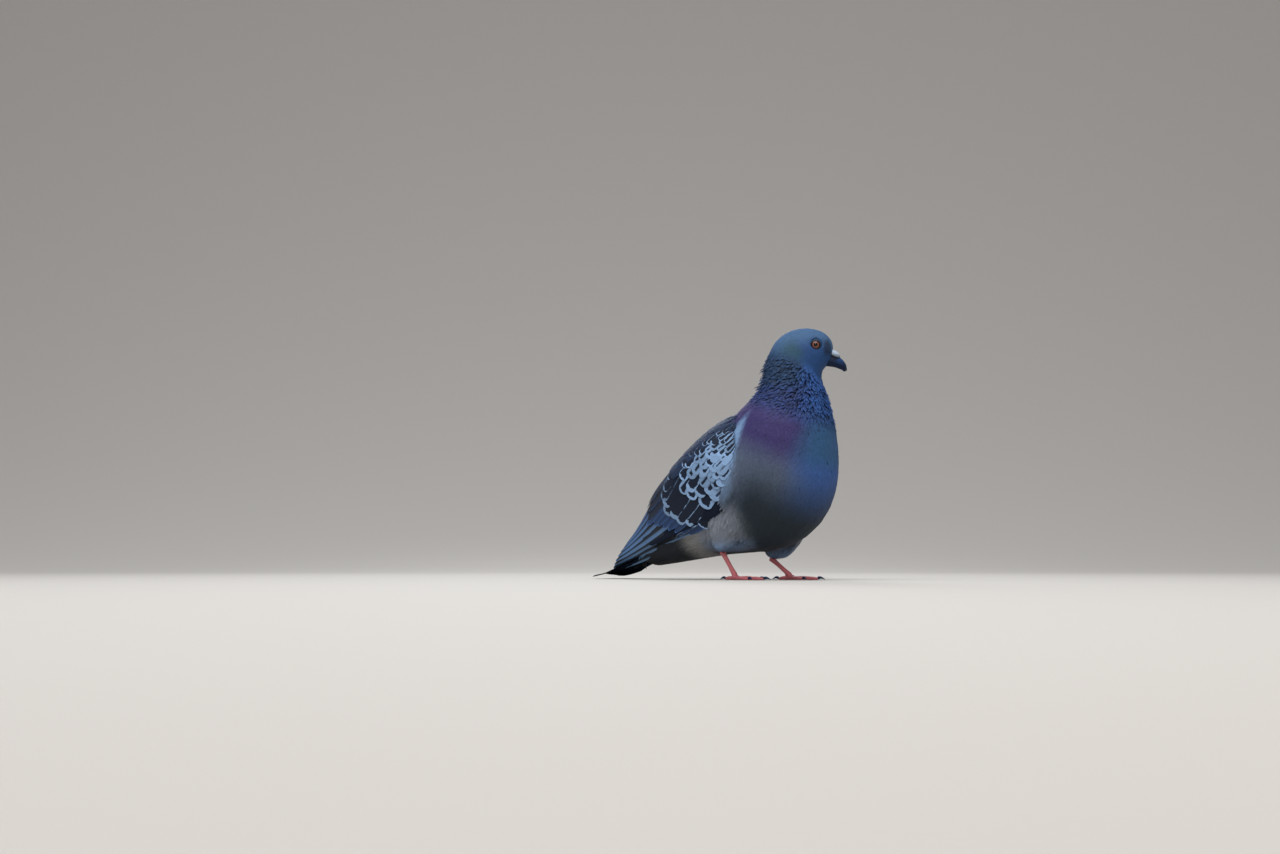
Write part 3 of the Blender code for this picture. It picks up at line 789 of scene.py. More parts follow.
def body_colours(axis, places):
    """Linear colours of the small feathers by where they grow, with painted light on the crown and painted
    shade on the lores, the belly, the thighs and under the tail.
    """
    c = colours()
    station, _, front, _ = axis.read(places)
    upper = ramp(-front, 0.3, 0.8)
    nape = ramp(station, 2.1, 2.8) * ramp(np.abs(front + 0.35), 0.6, 0.15)
    # painted light: the top of the head is lighter than its sides, as if lit from above
    head = blend(c["cheek"], c["crown"], ramp(-front, 0.05, 0.85))
    rgb = blend(head, c["green"] * 0.7, 0.75 * nape) * lore_painted_shade(places)[:, None]
    upper_neck = blend(c["hackle"], c["front"] * 1.1, ramp(front, 0.0, 0.7))
    middle_neck = blend(c["indigo"], c["front"], ramp(front, 0.3, 0.9))
    gloss = blend((c["green"] + c["front"]) / 2, c["front"], ramp(station, 7.4, 8.4))
    breast = blend(c["breast"], c["front"], ramp(front, 0.62, 1.0) * 0.85)
    layers = [
        (upper_neck, ramp(station, 2.7, 3.7)),
        (middle_neck, ramp(station, 4.4, 5.8)),
        (c["purple"], ramp(station, 6.1, 6.9)),
        (gloss, ramp(station, 6.0, 6.8) * ramp(front, 0.55, 0.95)),
        (breast, ramp(station, 7.5, 8.6)),
        # the belly: slate, with painted shade on the underside
        (c["belly"], ramp(station, 8.0, 9.5) * ramp(front, -0.2, 0.5)),
        (c["flank"], ramp(station, 10.2, 11.2) * ramp(front, 0.75, 0.35)),
        (c["vent"], ramp(station, 11.0, 11.4)),
        # near black under the tail's root: dark feathers with painted shadow under the tail
        (c["tail"] * 1.6, ramp(station, 11.5, 12.0) * ramp(front, -0.6, -0.3)),
        (c["tail"], ramp(station, 12.2, 13.0)),
        (c["mantle"], ramp(station, 7.3, 8.0) * upper),
        (c["rump"], ramp(station, 10.0, 10.8) * upper * ramp(station, 12.8, 12.0)),
    ]
    for side, outward in SIDES.items():
        reach, angles = wing_form(side).locate(places)
        degrees = np.degrees(angles)
        off = np.abs(reach - (0.66 * (degrees - 62) - 11) * MM)
        streak = ramp(off, 11 * MM, 2 * MM) * ramp(degrees, 46, 64) * ramp(degrees, 132, 84)
        thigh = "thigh_" + side
        centre, half = centre_and_half(thigh)
        inside = ramp(np.linalg.norm((places - centre) / half, axis=1), 2.1, 0.9)
        foot = ramp(places[:, 2], within(thigh, 0, 0, 0.36)[2], within(thigh, 0, 0, 0.02)[2])
        ahead = ramp(places[:, 0], centre[0] + 0.5 * half[0], centre[0] + 2.1 * half[0])
        inner = ramp((centre[1] - places[:, 1]) * outward, -0.3 * half[1], 0.5 * half[1])
        layers += [
            (c["streak"], streak),
            (c["flank"], inside * 0.8 * (1 - ahead)),
            # painted shade on the front of each thigh and on its side towards the body, which are darker and
            # less pale
            (c["belly"] * 1.3, inside * np.maximum(ahead, inner)),
            (c["thigh"], inside * foot * (1 - 0.5 * inner)),
        ]
    for tint, share in layers:
        rgb = blend(rgb, tint, share)
    return rgb


# ---------------------------------------------------------------- the skin

MUZZLE = 3.2 * MM  # how far the feathered skin comes forward over the base of the bill


def thigh_share(places):
    """1 at the feathered thighs and 0 away from them."""
    share = np.zeros(len(places))
    for side in SIDES:
        centre, half = centre_and_half("thigh_" + side)
        share = np.maximum(share, ramp(np.abs((places - centre) / half).max(axis=1), 1.3, 0.9))
    return share


def muzzle(corners):
    """How far each corner of the skin comes forward around the base of the bill."""
    away = corners - within("head", 0.98, 0.90, 0.40)
    cere_foot = box("cere")[0][2]
    under_cere = ramp(corners[:, 2], cere_foot + 2.5 * MM, cere_foot - 0.5 * MM)
    around = ramp(off_line(away, bill_way()), 9 * MM, 5 * MM)
    return MUZZLE * around * under_cere * ramp(away @ bill_way(), -6 * MM, -1 * MM)


def make_skin():
    skin = refined("skin", FLESH, sizes().skin_cell, 8)
    mesh = skin.data
    axis = BodyAxis()
    corners = corners_of(mesh)
    share = thigh_share(corners) * ramp(corners[:, 2], 20 * MM, 34 * MM)
    thighs = skin.vertex_groups.new(name="thighs")
    for number in np.flatnonzero(share > 0.02):
        thighs.add([int(number)], float(share[number]), "REPLACE")
    apply_modifier(skin, "SMOOTH", factor=0.5, iterations=60, vertex_group="thighs")
    skin.vertex_groups.clear()
    corners = corners_of(mesh)
    station, _, _, _ = axis.read(corners)
    corners = corners - normals_of(mesh) * by_station(station, COAT_DEPTH)[:, None]
    place_corners(mesh, corners + np.outer(muzzle(corners), bill_way()))
    apply_modifier(skin, "SMOOTH", factor=0.5, iterations=3)
    smooth_faces(mesh)
    with editing(skin):
        bpy.ops.uv.smart_project(angle_limit=math.radians(60), island_margin=0.002)
    mesh.uv_layers.active.name = "OFBake"
    corners = corners_of(mesh)
    # painted shadow: the skin under the raised neck feathers is darkened so that the gaps between them show
    # dark
    hackle_gap_shade = ramp(station, 2.8, 3.4) * ramp(station, 6.8, 6.0)
    rgb = body_colours(axis, corners) * (1 - 0.8 * hackle_gap_shade)[:, None]
    # the wings' skin gets the coverts' dark centre colour, which also stands as painted shadow in the gaps
    # between the wing's feathers
    wings = [number for number, name in enumerate(FLESH) if name.startswith("wing")]
    under_wing = np.isin(Owners(FLESH).of(corners), wings)
    paint(mesh, "plumage", np.where(under_wing[:, None], colours()["wing_dark"], rgb))
    finish_piece(skin, "slate_plumage", grained_material("plumage_down"), *FLESH)


# ---------------------------------------------------------------- the coat of small feathers

# A small feather's rows of corners as shares of its length, and its form in those rows.
COAT_ALONG = np.array((0.0, 0.34, 0.64, 0.86, 1.0))
VANE_POINTED = np.array((0.45, 1.0, 0.88, 0.46, 0.05))  # half widths of a pointed feather
VANE_ROUND = np.array((0.55, 0.95, 1.0, 0.80, 0.30))  # half widths of a rounded one
VANE_FLAT = np.array((0.68, 0.86, 0.95, 0.99, 1.0))  # heights of a smooth one in the coat's depth
VANE_RAISED = np.array((-0.30, 0.40, 0.76, 0.93, 1.0))  # heights of a raised one
COAT_COLUMNS = np.array((-1.0, 0.0, 1.0))
EYE_BARE = 4.2 * MM  # no feathers grow closer than this to the middle of an eye
LOST = 0.6  # a step that ends further off the skin than this share of it goes straight on


def lay_rows(axis, surface, roots, lengths, yaw, droop):
    """Walks from each root over the surface and returns each row's point, normal and way."""
    place, normal, spot = surface.nearest(roots)
    rows = []
    for share in np.append(np.diff(COAT_ALONG), 0):
        step = lengths * share
        station, way, front, _ = axis.read(place)
        way = axis.combed(station, way, front) + np.outer(droop, (0, 0, -1))
        flat = unit(way - normal * dot(way, normal)[:, None])
        side = np.cross(normal, flat)
        flat = flat * np.cos(yaw)[:, None] + side * np.sin(yaw)[:, None]
        rows.append((place, normal, flat))
        ahead = place + flat * step[:, None]
        found, turned, _ = surface.nearest(ahead)
        gone = np.linalg.norm(found - ahead, axis=1) > np.maximum(step, 1 * MM) * LOST
        place = np.where(gone[:, None], ahead, found)
        normal = np.where(gone[:, None], normal, turned)
    return (np.stack([row[k] for row in rows], axis=1) for k in range(3)), spot


def over_wing(places):
    """1 where the breast lies over the first feathers of a wing."""
    share = np.zeros(len(places))
    for side in SIDES:
        reach, angles = wing_form(side).locate(places)
        degrees = np.degrees(angles)
        gap = wing_front(degrees) - reach
        share += ramp(gap, 9 * MM, 2 * MM) * (gap > -1 * MM) * ramp(degrees, 58, 80)
    return share


def coat_piece(name, slot, axis, surface, roots, material, random):
    """One mesh of small feathers that grow from the given places of the skin."""
    station, _, front, _ = axis.read(roots)
    count = len(roots)
    near_thigh = thigh_share(roots)
    loose = ramp(station, 9.6, 11.0) * ramp(front, 0.9, 0.5) * 0.45 + near_thigh * 0.3
    raised = ramp(station, 2.9, 3.6) * ramp(station, 6.8, 6.0)
    lengths = by_station(station, COAT_LENGTH) * random.normal(1, 0.10, count) * (1 + 0.5 * loose)
    widths = by_station(station, COAT_WIDTH) * random.normal(1, 0.10, count)
    yaw = random.normal(0, 1, count) * (0.09 + 0.12 * raised + 0.16 * loose)
    (spine, up, way), spots = lay_rows(axis, surface, roots, lengths, yaw, 0.9 * near_thigh)

    depth = by_station(station, COAT_DEPTH) * (1 + raised * random.normal(0.25, 0.35, count))
    depth = depth * (1 + loose * random.normal(0.3, 0.3, count))
    nape = ramp(station, 3.0, 3.6) * ramp(station, 5.6, 4.8) * ramp(-front, 0.5, 0.9)
    ruffled = nape * (random.random(count) < 0.25)
    depth = depth * (1 + 0.7 * ruffled) + random.normal(0, 0.04 * MM, count) + over_wing(roots) * 1.1 * MM
    lift = VANE_FLAT + np.maximum(raised, loose)[:, None] * (VANE_RAISED - VANE_FLAT)
    spine = spine + up * (lift * depth[:, None])[..., None]

    pointed = np.clip(raised * 1.2 + loose * 1.2, 0, 1)[:, None]
    outline = VANE_ROUND * (1 - pointed) + VANE_POINTED * pointed
    reach = (outline * widths[:, None] / 2)[..., None] * COAT_COLUMNS
    hang = (0.05 + 0.07 * raised)[:, None, None] * widths[:, None, None] * COAT_COLUMNS**2
    across = np.cross(up, way)[:, :, None]
    grid = spine[:, :, None] + across * reach[..., None] - up[:, :, None] * hang[..., None]

    tone = random.normal(1, 0.05, count) + (0.22 * raised + 0.08 * loose) * random.normal(0, 1, count)
    drift = random.normal(0, 1, (count, 1, 3)) * (0.7 + 1.3 * loose)[:, None, None] * MM
    rgb = body_colours(axis, (spine + drift).reshape(-1, 3)).reshape(count, -1, 3)
    # painted light along each feather: raised and loose feathers are painted darker at the root as shade in
    # the gaps between them, and raised ones lighter at the tip as a painted highlight
    root_painted_shade = 1.02 - 0.85 * raised - 0.15 * loose
    tip_painted_light = 1.02 + 0.35 * raised
    rising = COAT_ALONG ** (1 + 0.7 * raised)[:, None]
    fade = root_painted_shade[:, None] + (tip_painted_light - root_painted_shade)[:, None] * rising
    fade[:, -1] *= 0.86 + 0.14 * raised  # smooth feathers have a slightly darker rim
    rgb = rgb * (fade * tone[:, None])[..., None]
    paints = {"plumage": np.repeat(rgb[:, :, None], len(COAT_COLUMNS), axis=2)}
    thickness = by_station(station, COAT_THICKNESS)
    item = vane_mesh(name, grid, up[:, :, None], COAT_ALONG, thickness, paints, spots)
    finish_piece(item, slot, material)


def coat_spacing(axis, owners, places):
    """How far apart small feathers grow, and 0 around the eyes and below the wings' own feathers."""
    station, _, _, _ = axis.read(places)
    spacing = by_station(station, COAT_SPACING)
    owner = owners.of(places)
    for side in SIDES:
        near_eye = np.linalg.norm(places - middle("eye_" + side), axis=1) < EYE_BARE
        parts = [FLESH.index(f"wing_{side}_{part}") for part in ("coverts", "secondaries")]
        below = np.isin(owner, parts) & wing_form(side).covers(places)
        spacing = np.where(near_eye | below, 0, spacing)
    return spacing


def make_coat():
    surface = Surface(bpy.data.objects["skin"])
    axis = BodyAxis()
    random = np.random.default_rng(sizes().seed)
    roots = surface.scatter(functools.partial(coat_spacing, axis, Owners(FLESH)), random)
    station, _, _, left = axis.read(roots)
    material = feather_material("soft_vane", 9.0, 0.8, 0.66, 0.35, 0.3)
    everywhere = np.ones(len(roots), dtype=bool)
    halves = {"_right": left < 0, "_left": left >= 0}
    for name, slot, start, end, parts in (
        ("head", "blue_grey_plumage", -1.0, 3.0, {"": everywhere}),
        ("neck", "neck_gloss", 3.0, 7.0, halves),
        ("breast", "slate_plumage", 7.0, 9.2, halves),
        ("belly", "slate_plumage", 9.2, 10.8, halves),
        ("vent", "slate_plumage", 10.8, 14.0, halves),
    ):
        for ending, here in parts.items():
            chosen = roots[(station >= start) & (station < end) & here]
            coat_piece("coat_" + name + ending, slot, axis, surface, chosen, material, random)


# ---------------------------------------------------------------- wings

WING_LOW = 136  # the angle about a wing's axis where its own feathers end
WING_RADIUS = 46 * MM  # roughly from a wing's axis to its outer face
FAR = 120 * MM  # further from a wing's axis than any part of it


def wing_front(degrees):
    """How far along the wing its own feathers start: the breast lies over its lower front."""
    return np.interp(degrees, (60, 78, 91, 107, 121, 135), (3.0, 5.0, 10.0, 18.0, 27.0, 34.0)) * MM


def tree_of(nodes):
    """The faces of CAD nodes, to be met by rays."""
    item = copy_of_nodes("form", nodes)
    tree = Surface(item).tree
    bpy.data.objects.remove(item)
    return tree


class WingForm:
    """The outer face of a wing, by the distance along its axis and the angle about it from the spine."""

    angle_columns = [1, 2]

    def __init__(self, side):
        low, high = box(f"wing_{side}_coverts")
        tip, _ = box(f"wing_{side}_primaries")
        self.start = np.array((high[0], 0.0, low[2] + 0.64 * (high[2] - low[2])))
        along = np.array((tip[0], 0.0, tip[2])) - self.start
        self.along = unit(along)
        self.up = np.array((self.along[2], 0.0, -self.along[0]))
        self.out = np.array((0.0, SIDES[side], 0.0))
        self.reach = np.arange(-20 * MM, float(np.linalg.norm(along)) + 10 * MM, 4 * MM)
        self.angles = np.radians(np.arange(-10, 171, 6))
        tree = tree_of([f"wing_{side}_{part}" for part in ("coverts", "secondaries", "primaries")])
        radii = np.full((len(self.reach), len(self.angles)), np.nan)
        for i, reach in enumerate(self.reach):
            for j, angle in enumerate(self.angles):
                way = self.way_out(np.array(angle))
                hit = tree.ray_cast(Vector(self.start + self.along * reach + way * FAR), Vector(-way), FAR)
                if hit[0] is not None:
                    radii[i, j] = FAR - hit[3]
        self.radii = filled(radii)
        for _ in range(2):
            self.radii = averaged(self.radii)

    def way_out(self, angles):
        return np.cos(angles)[..., None] * self.up + np.sin(angles)[..., None] * self.out

    def radius(self, reach, angles):
        return read_grid(self.radii, self.reach, self.angles, reach, angles)

    def place(self, reach, angles):
        """Points of the wing's outer face."""
        radius = self.radius(reach, angles)
        return self.start + self.along * reach[..., None] + self.way_out(angles) * radius[..., None]

    def frame_at(self, reach, angles):
        """Points of the outer face with the normals there."""
        small = 2 * MM
        turn = math.radians(4)
        along = self.place(reach + small, angles) - self.place(reach - small, angles)
        around = self.place(reach, angles + turn) - self.place(reach, angles - turn)
        normal = unit(np.cross(along, around))
        facing = dot(normal, self.way_out(angles))
        return self.place(reach, angles), normal * np.sign(facing)[..., None]

    def aside(self, reach, angles, arc):
        """The angles that lie an arc to the side of others."""
        angles = angles + np.zeros_like(reach)
        return angles + arc / self.radius(reach, angles)

    def locate(self, places):
        """Distance along the axis and angle about it."""
        away = places - self.start
        return away @ self.along, np.arctan2(away @ self.out, away @ self.up)

    def covers(self, places):
        """Whether the wing's own feathers cover a place of the wing's skin."""
        reach, angles = self.locate(places)
        out = off_line(places - self.start, self.along)
        outside = out > 0.7 * self.radius(reach, angles)
        under = (np.degrees(angles) > WING_LOW) & (reach < 100 * MM) & outside
        return (reach > wing_front(np.degrees(angles))) & ~under


def averaged(grid):
    """A grid smoothed with the values next to each, which weigh half as much."""
    wide = np.pad(grid, 1, mode="edge")
    along = wide[:-2, 1:-1] + wide[2:, 1:-1]
    across = wide[1:-1, :-2] + wide[1:-1, 2:]
    return (2 * grid + along + across) / 6


@functools.cache
def wing_form(side):
    """The form of one wing, read once."""
    return WingForm(side)


class WingRow(NamedTuple):
    """One row of wing feathers, told by its tips: mm along the wing and degrees about it."""

    tip: float  # how far along the wing the furthest tip lies
    middle: float  # the angle at which it does
    bend: float  # how far the tips fall back 30 degrees to either side of it
    first: float
    last: float
    spacing: float  # from tip to tip (mm)
    length: float
    width: float
    height: float  # of the tips over the wing
    edge: tuple  # widths of the pale edge at the side and at the tip (mm)
    slant: float = 20  # how far the feathers turn towards the belly (degrees)
    tone: tuple = ("wing_dark", "wing_pale")  # names of the colours of the middle and of the edge


COVERT_ROWS = (
    WingRow(87, 92, 15, 56, 142, 6.5, 46, 11.5, 0.9, (0.3, 3.6), slant=14),
    WingRow(60, 90, 15, 62, 132, 9.5, 26, 14.0, 1.2, (2.4, 3.6), slant=18),
    WingRow(49, 88, 13, 62, 130, 8.5, 22, 12.0, 1.3, (2.4, 3.4)),
    WingRow(39, 90, 9, 62, 128, 6.6, 18, 9.6, 1.4, (2.5, 3.4)),
    WingRow(32, 92, 8, 62, 126, 6.0, 15, 8.6, 1.45, (2.8, 3.4)),
    WingRow(26, 92, 8, 62, 124, 5.6, 13, 8.0, 1.5, (3.3, 3.4)),
    WingRow(20, 92, 8, 60, 122, 5.2, 12, 7.4, 1.5, (2.9, 3.2)),
    WingRow(14, 92, 8, 58, 120, 4.4, 11, 6.0, 1.5, (1.9, 2.4)),
    WingRow(9, 92, 8, 56, 120, 4.2, 11, 5.6, 1.45, (1.8, 2.4)),
    WingRow(4, 92, 6, 54, 116, 4.2, 10, 5.6, 1.3, (2.4, 3.6)),
)
# Rows of shoulder feathers, which are all slate: tip, bend, first, last, spacing, length, width and height.
SCAPULAR_ROWS = tuple(
    WingRow(tip, 42, *sizes, (0.0, 0.1), slant=-4, tone=("mantle", "secondary"))
    for tip, *sizes in (
        (68, 5, 22, 66, 8.5, 46, 12.0, 1.2),
        (58, 5, 24, 68, 8.0, 38, 11.0, 1.25),
        (48, 5, 24, 68, 7.5, 30, 10.0, 1.3),
        (39, 4, 24, 68, 7.0, 26, 9.5, 1.35),
        (30, 4, 22, 66, 6.5, 22, 9.0, 1.35),
        (22, 4, 20, 66, 6.2, 18, 8.0, 1.3),
        (14, 3, 18, 64, 6.0, 16, 7.5, 1.3),
        (7, 3, 18, 62, 5.5, 14, 7.0, 1.2),
        (1, 3, 18, 58, 5.0, 12, 6.5, 1.1),
    )
)


class Outline(NamedTuple):
    """The outline of a large feather."""

    along: tuple  # its rows, as shares of the length
    inner: tuple  # half widths there, as shares of half the width, on a wing's side towards the back
    outer: tuple  # the same on its side towards the belly
    roundness: float  # of the tip


FLIGHT_ALONG = (0.0, 0.15, 0.3, 0.45, 0.6, 0.72, 0.82, 0.9, 0.96, 1.0)
COVERT_SIDE = (0.5, 0.8, 0.95, 1.0, 1.0, 0.98, 0.95, 0.90)
TAIL_SIDE = (0.6, 0.9, 1.0, 1.0, 1.0, 0.99, 0.96, 0.92, 0.85, 0.72)
COVERT = Outline((0.0, 0.25, 0.45, 0.62, 0.76, 0.88, 0.95, 1.0), COVERT_SIDE, COVERT_SIDE, 0.62)
FLIGHT = Outline(
    FLIGHT_ALONG,
    (0.6, 0.9, 1.0, 1.0, 0.98, 0.93, 0.86, 0.72, 0.5, 0.3),
    (0.42, 0.46, 0.46, 0.45, 0.43, 0.40, 0.36, 0.31, 0.25, 0.18),
    0.8,
)
TAIL = Outline(FLIGHT_ALONG, TAIL_SIDE, TAIL_SIDE, 0.7)
VANE_COLUMNS = np.linspace(-1, 1, 9)

# The shade of a flight feather across it, from its inner to its outer side. On the primaries the dark inner
# part is painted shadow where the next feather lies over it; the others grow somewhat darker towards their
# inner side.
PRIMARY_WEBS_SHADOWED = (0.06, 0.06, 0.06, 0.06, 0.12, 0.85, 1.0, 1.05, 1.15)
OTHER_WEBS = (0.4, 0.4, 0.4, 0.4, 0.5, 0.65, 0.7, 0.75, 0.8)
PRIMARIES = 8


VANE_TIP = 0.93  # how much of a half circle the end of a large feather takes up
VANE_RISE = 1.3  # power by which it rises along its length
VANE_TILT = 0.012  # how much higher the side towards the belly lies, as a share of the width
VANE_ARCH = 0.022  # how far both sides bend down


def lay_vanes(form, table, outline):
    """Corners and upward directions of flat feathers on a form."""
    tip, beside, turn, length, width, low, high = (table[:, k, None, None] for k in range(7))
    slope = np.array(outline.along)[None, :, None]
    s = VANE_COLUMNS[None, None, :]
    half = np.where(s < 0, *(np.array(side)[None, :, None] for side in outline[1:3])) * width / 2
    curve = outline.roundness * (1 - np.sqrt(1 - (VANE_TIP * s) ** 2)) * width / 2 * slope**4
    ahead = (slope - 1) * length - curve
    aside = s * half
    reach = tip + ahead * np.cos(turn) - aside * np.sin(turn)
    arc = ahead * np.sin(turn) + aside * np.cos(turn)
    point, up = form.frame_at(reach, form.aside(reach, beside, arc))
    height = low + (high - low) * slope**VANE_RISE + width * (VANE_TILT * s - VANE_ARCH * s**2)
    return point + up * height[..., None], up


def large_feathers(name, form, rows, tones, outline, material, slot="flight_feather", webs=1.0):
    """One mesh of large feathers with pale edges.

    Each row holds the tip's place on the form (2), the slant, the length, the width, the heights of root
    and tip and the widths of the pale edge at the side and at the tip, in mm and degrees. webs is the
    shade by feather and column.
    """
    table = np.array(rows, float)
    angles = table[:, form.angle_columns]
    table *= MM
    table[:, form.angle_columns] = np.radians(angles)
    paints = np.array(tones)
    grid, up = lay_vanes(form, table, outline)
    count, rows, columns, _ = grid.shape
    widths = np.zeros(grid.shape)
    widths[..., 0] = (table[:, 7] / (table[:, 4] / 2))[:, None, None]
    widths[..., 1] = (table[:, 8] / table[:, 3])[:, None, None]
    widths[..., 2] = (np.arange(count) * 0.618 % 1)[:, None, None]  # each feather's own part of the noise
    shade = np.broadcast_to(webs, (count, columns))[:, None, :, None]
    tints = {
        "plumage": paints[:, 0, None, None] * np.ones(grid.shape) * shade,
        "edging": paints[:, 1, None, None] * np.ones(grid.shape),
        "edge_widths": widths,
    }
    per_row = math.ceil(math.sqrt(count))  # cells of a square grid on the bake map, one for each feather
    number = np.arange(count)
    spots = (np.stack((number % per_row, number // per_row), axis=1) + 0.5) / per_row
    thickness = sizes().vane_thickness
    item = vane_mesh(name, grid, up, np.array(outline.along), thickness, tints, spots, 0.96 / per_row)
    finish_piece(item, slot, material)
    return item


def row_feathers(rows, random):
    """Rows for large_feathers of all feathers of the wing's rows, and their colours."""
    known = colours()
    table = []
    tones = []
    for number, row in enumerate(rows):
        step = math.degrees(row.spacing * MM / WING_RADIUS)
        angles = np.arange(row.first + (number % 2) * step / 2, row.last, step)
        for angle in angles + random.normal(0, 0.10, len(angles)) * step:
            bend = row.bend * ((angle - row.middle) / 30) ** 2
            tip = row.tip - bend + random.normal(0, 0.2) * row.spacing
            size = random.normal(1, 0.12)
            tone = random.normal(1, 0.06)
            slant = row.slant + random.normal(0, 5)
            side_edge = row.edge[0] * random.normal(1, 0.4)
            tip_edge = row.edge[1] * random.normal(1, 0.25)
            if tip * MM < wing_front(angle) + 0.4 * row.length * MM * ramp(angle, 98, 118):
                continue
            pale = 0.25 + 0.75 * ramp(angle, 62, 84)
            inner = ramp(angle, 34, 20)  # 1 for the shoulder feathers next to the back
            first = ramp(tip, 16, 4) * ramp(angle, 70, 56)  # 1 for those at the front of the shoulder
            sunk = 2.6 * ramp(angle, 96, 116) * ramp(tip, 78, 66) + 1.2 * inner + 1.2 * first
            top = row.height - 1.1 * inner - 0.3 * first
            root = top - 0.032 * row.length - sunk
            place = (tip, angle, slant, row.length, row.width * size, root, top)
            table.append((*place, side_edge * pale, tip_edge * pale))
            dark, light = (known[name] * tone for name in row.tone)
            tones.append((dark, light * random.normal(1, 0.12)))
    return table, tones


def flight_rows():
    """Rows for large_feathers of a wing's flight feathers, the outermost first, and their colours."""
    known = colours()
    secondary = known["secondary"]
    rows = []
    tones = []
    for k in range(PRIMARIES):
        place = (183 - 3.8 * k, 131 - 10.5 * k, -6 + 0.7 * k)
        rows.append((*place, 106 - 2 * k, 15, -1.7 + 0.22 * k, -1.5 + 0.24 * k, 0.4, 0.5))
        # the primaries' light blue holds painted reflection of the sky
        tone = blend(known["primary"] * 1.15, secondary, k / 9)
        tones.append((tone, tone * 1.4))
    for k in range(9):  # secondaries
        place = (117 - 4.6 * k, 86 + 5.8 * k, 6)
        rows.append((*place, 56 - 2.4 * k, 13, -0.9 - 0.02 * k, 0.55 - 0.02 * k, 0.6, 0.9))
        tones.append((secondary, secondary * 2.2))
    for k in range(5):  # tertials
        rows.append((115 - 1.5 * k, 82 - 12 * k, -2, 60, 18, -1.0 + 0.05 * k, 0.6 + 0.35 * k, 0.5, 0.9))
        tones.append((known["mantle"], secondary * 1.6))
    for k in range(6):  # primary coverts along the lower edge
        rows.append((96 - 6 * k, 129 - 0.8 * k, 4, 34, 6, -1.0, -0.1 + 0.08 * k, 0.7, 0.9))
        tones.append((secondary * 0.7, known["wing_pale"] * 0.8))
    return rows, tones


def make_wings():
    random = np.random.default_rng(sizes().seed + 1)
    covert = feather_material("covert_vane", 60.0, 0.9, 0.6, 0.2, 0.25, edged=True)
    flight = feather_material("flight_vane", 120.0, 0.5, 0.5, 0.25, 0.25, edged=True)
    for side in SIDES:
        form = wing_form(side)
        small = row_feathers(COVERT_ROWS + SCAPULAR_ROWS, random)
        large_feathers("coverts_" + side, form, *small, COVERT, covert, slot="wing_plumage")
        large = flight_rows()
        webs = [PRIMARY_WEBS_SHADOWED if number < PRIMARIES else OTHER_WEBS for number in range(len(large[0]))]
        item = large_feathers("flight_" + side, form, *large, FLIGHT, flight, webs=webs)
        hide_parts(f"wing_{side}_primaries")


# ---------------------------------------------------------------- tail


class TailForm:
    """The upper or the lower face of the tail, by the distance behind the frame's middle and along Y."""

    angle_columns = [2]

    def __init__(self, facing=1):
        self.facing = facing
        tree = tree_of(["tail"])
        low, high = box("tail")
        self.reach = np.linspace(-high[0] + 1 * MM, -low[0] - 1 * MM, 24)
        self.across = np.linspace(low[1], high[1], 17)
        heights = np.full((24, 17), np.nan)
        for i, x in enumerate(self.reach):
            for j, y in enumerate(self.across):
                hit = tree.ray_cast(Vector((-x, y, 0.2 * facing)), Vector((0, 0, -facing)), 0.3)
                if hit[0] is not None:
                    heights[i, j] = hit[0].z
        self.heights = filled(heights)

    def height(self, reach, across):
        return read_grid(self.heights, self.reach, self.across, reach, across)

    def aside(self, reach, across, arc):
        """The places along Y that lie an arc to the side of others, whatever their reach."""
        return across + arc

    def frame_at(self, reach, across):
        """Points of the face with the normals there."""
        reach, across = np.broadcast_arrays(reach, across)
        small = 4 * MM
        slope_x = (self.height(reach + small, across) - self.height(reach - small, across)) / (2 * small)
        slope_y = (self.height(reach, across + small) - self.height(reach, across - small)) / (2 * small)
        up = unit(np.stack((slope_x, -slope_y, np.ones_like(slope_x)), axis=-1)) * self.facing
        return np.stack((-reach, across, self.height(reach, across)), axis=-1), up


def make_tail():
    black = colours()["tail"]
    material = feather_material("tail_vane", 120.0, 0.5, 0.7, 0.0, 0.25, edged=True)
    rows = []
    for side in SIDES.values():
        over = 0.1 if side > 0 else 0  # where the two halves cross, the left one lies on top
        for k in range(6):  # the middle feathers lie on top
            place = (119.0 - 0.16 * k * k, side * (4.0 + 3.1 * k), side * (1.5 + 2.2 * k))
            rows.append((*place, 66, 17, -1.4 - 0.30 * k + over, -0.3 - 0.22 * k + over, 0.4, 0.6))
    tones = [(black, black * 1.3)] * len(rows)
    item = large_feathers("tail_feathers", TailForm(), rows, tones, TAIL, material)
    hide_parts("tail")
    random = np.random.default_rng(sizes().seed + 2)
    rows = []
    tones = []
    for k, tip in enumerate((106.0, 99.0, 92.0, 84.0, 77.0, 70.0)):
        for y in np.arange(-17.0 + k, 17.1 - k, 5.0):
            place = (tip - 0.012 * y * y, y + random.normal(0, 0.6), 0.4 * y)
            rows.append((*place, 38 - 2 * k, 9, -1.2, 0.1 + 0.12 * k, 0.3, 0.5))
            tone = random.normal(1, 0.08)
            tones.append((black * (1.3 + 0.35 * k) * tone, black * (1.6 + 0.5 * k) * tone))
    outline = COVERT._replace(roundness=0.9)
    large_feathers("undertail_coverts", TailForm(-1), rows, tones, outline, material)


# ---------------------------------------------------------------- eyes

EYE_SEGMENTS = 72
EYE_UNIT = 5 * MM  # the distance from the eye's axis that its ring attribute calls 1
EYE_BULGE = 0.035  # how far the cornea stands out, as a share of the eye's radius
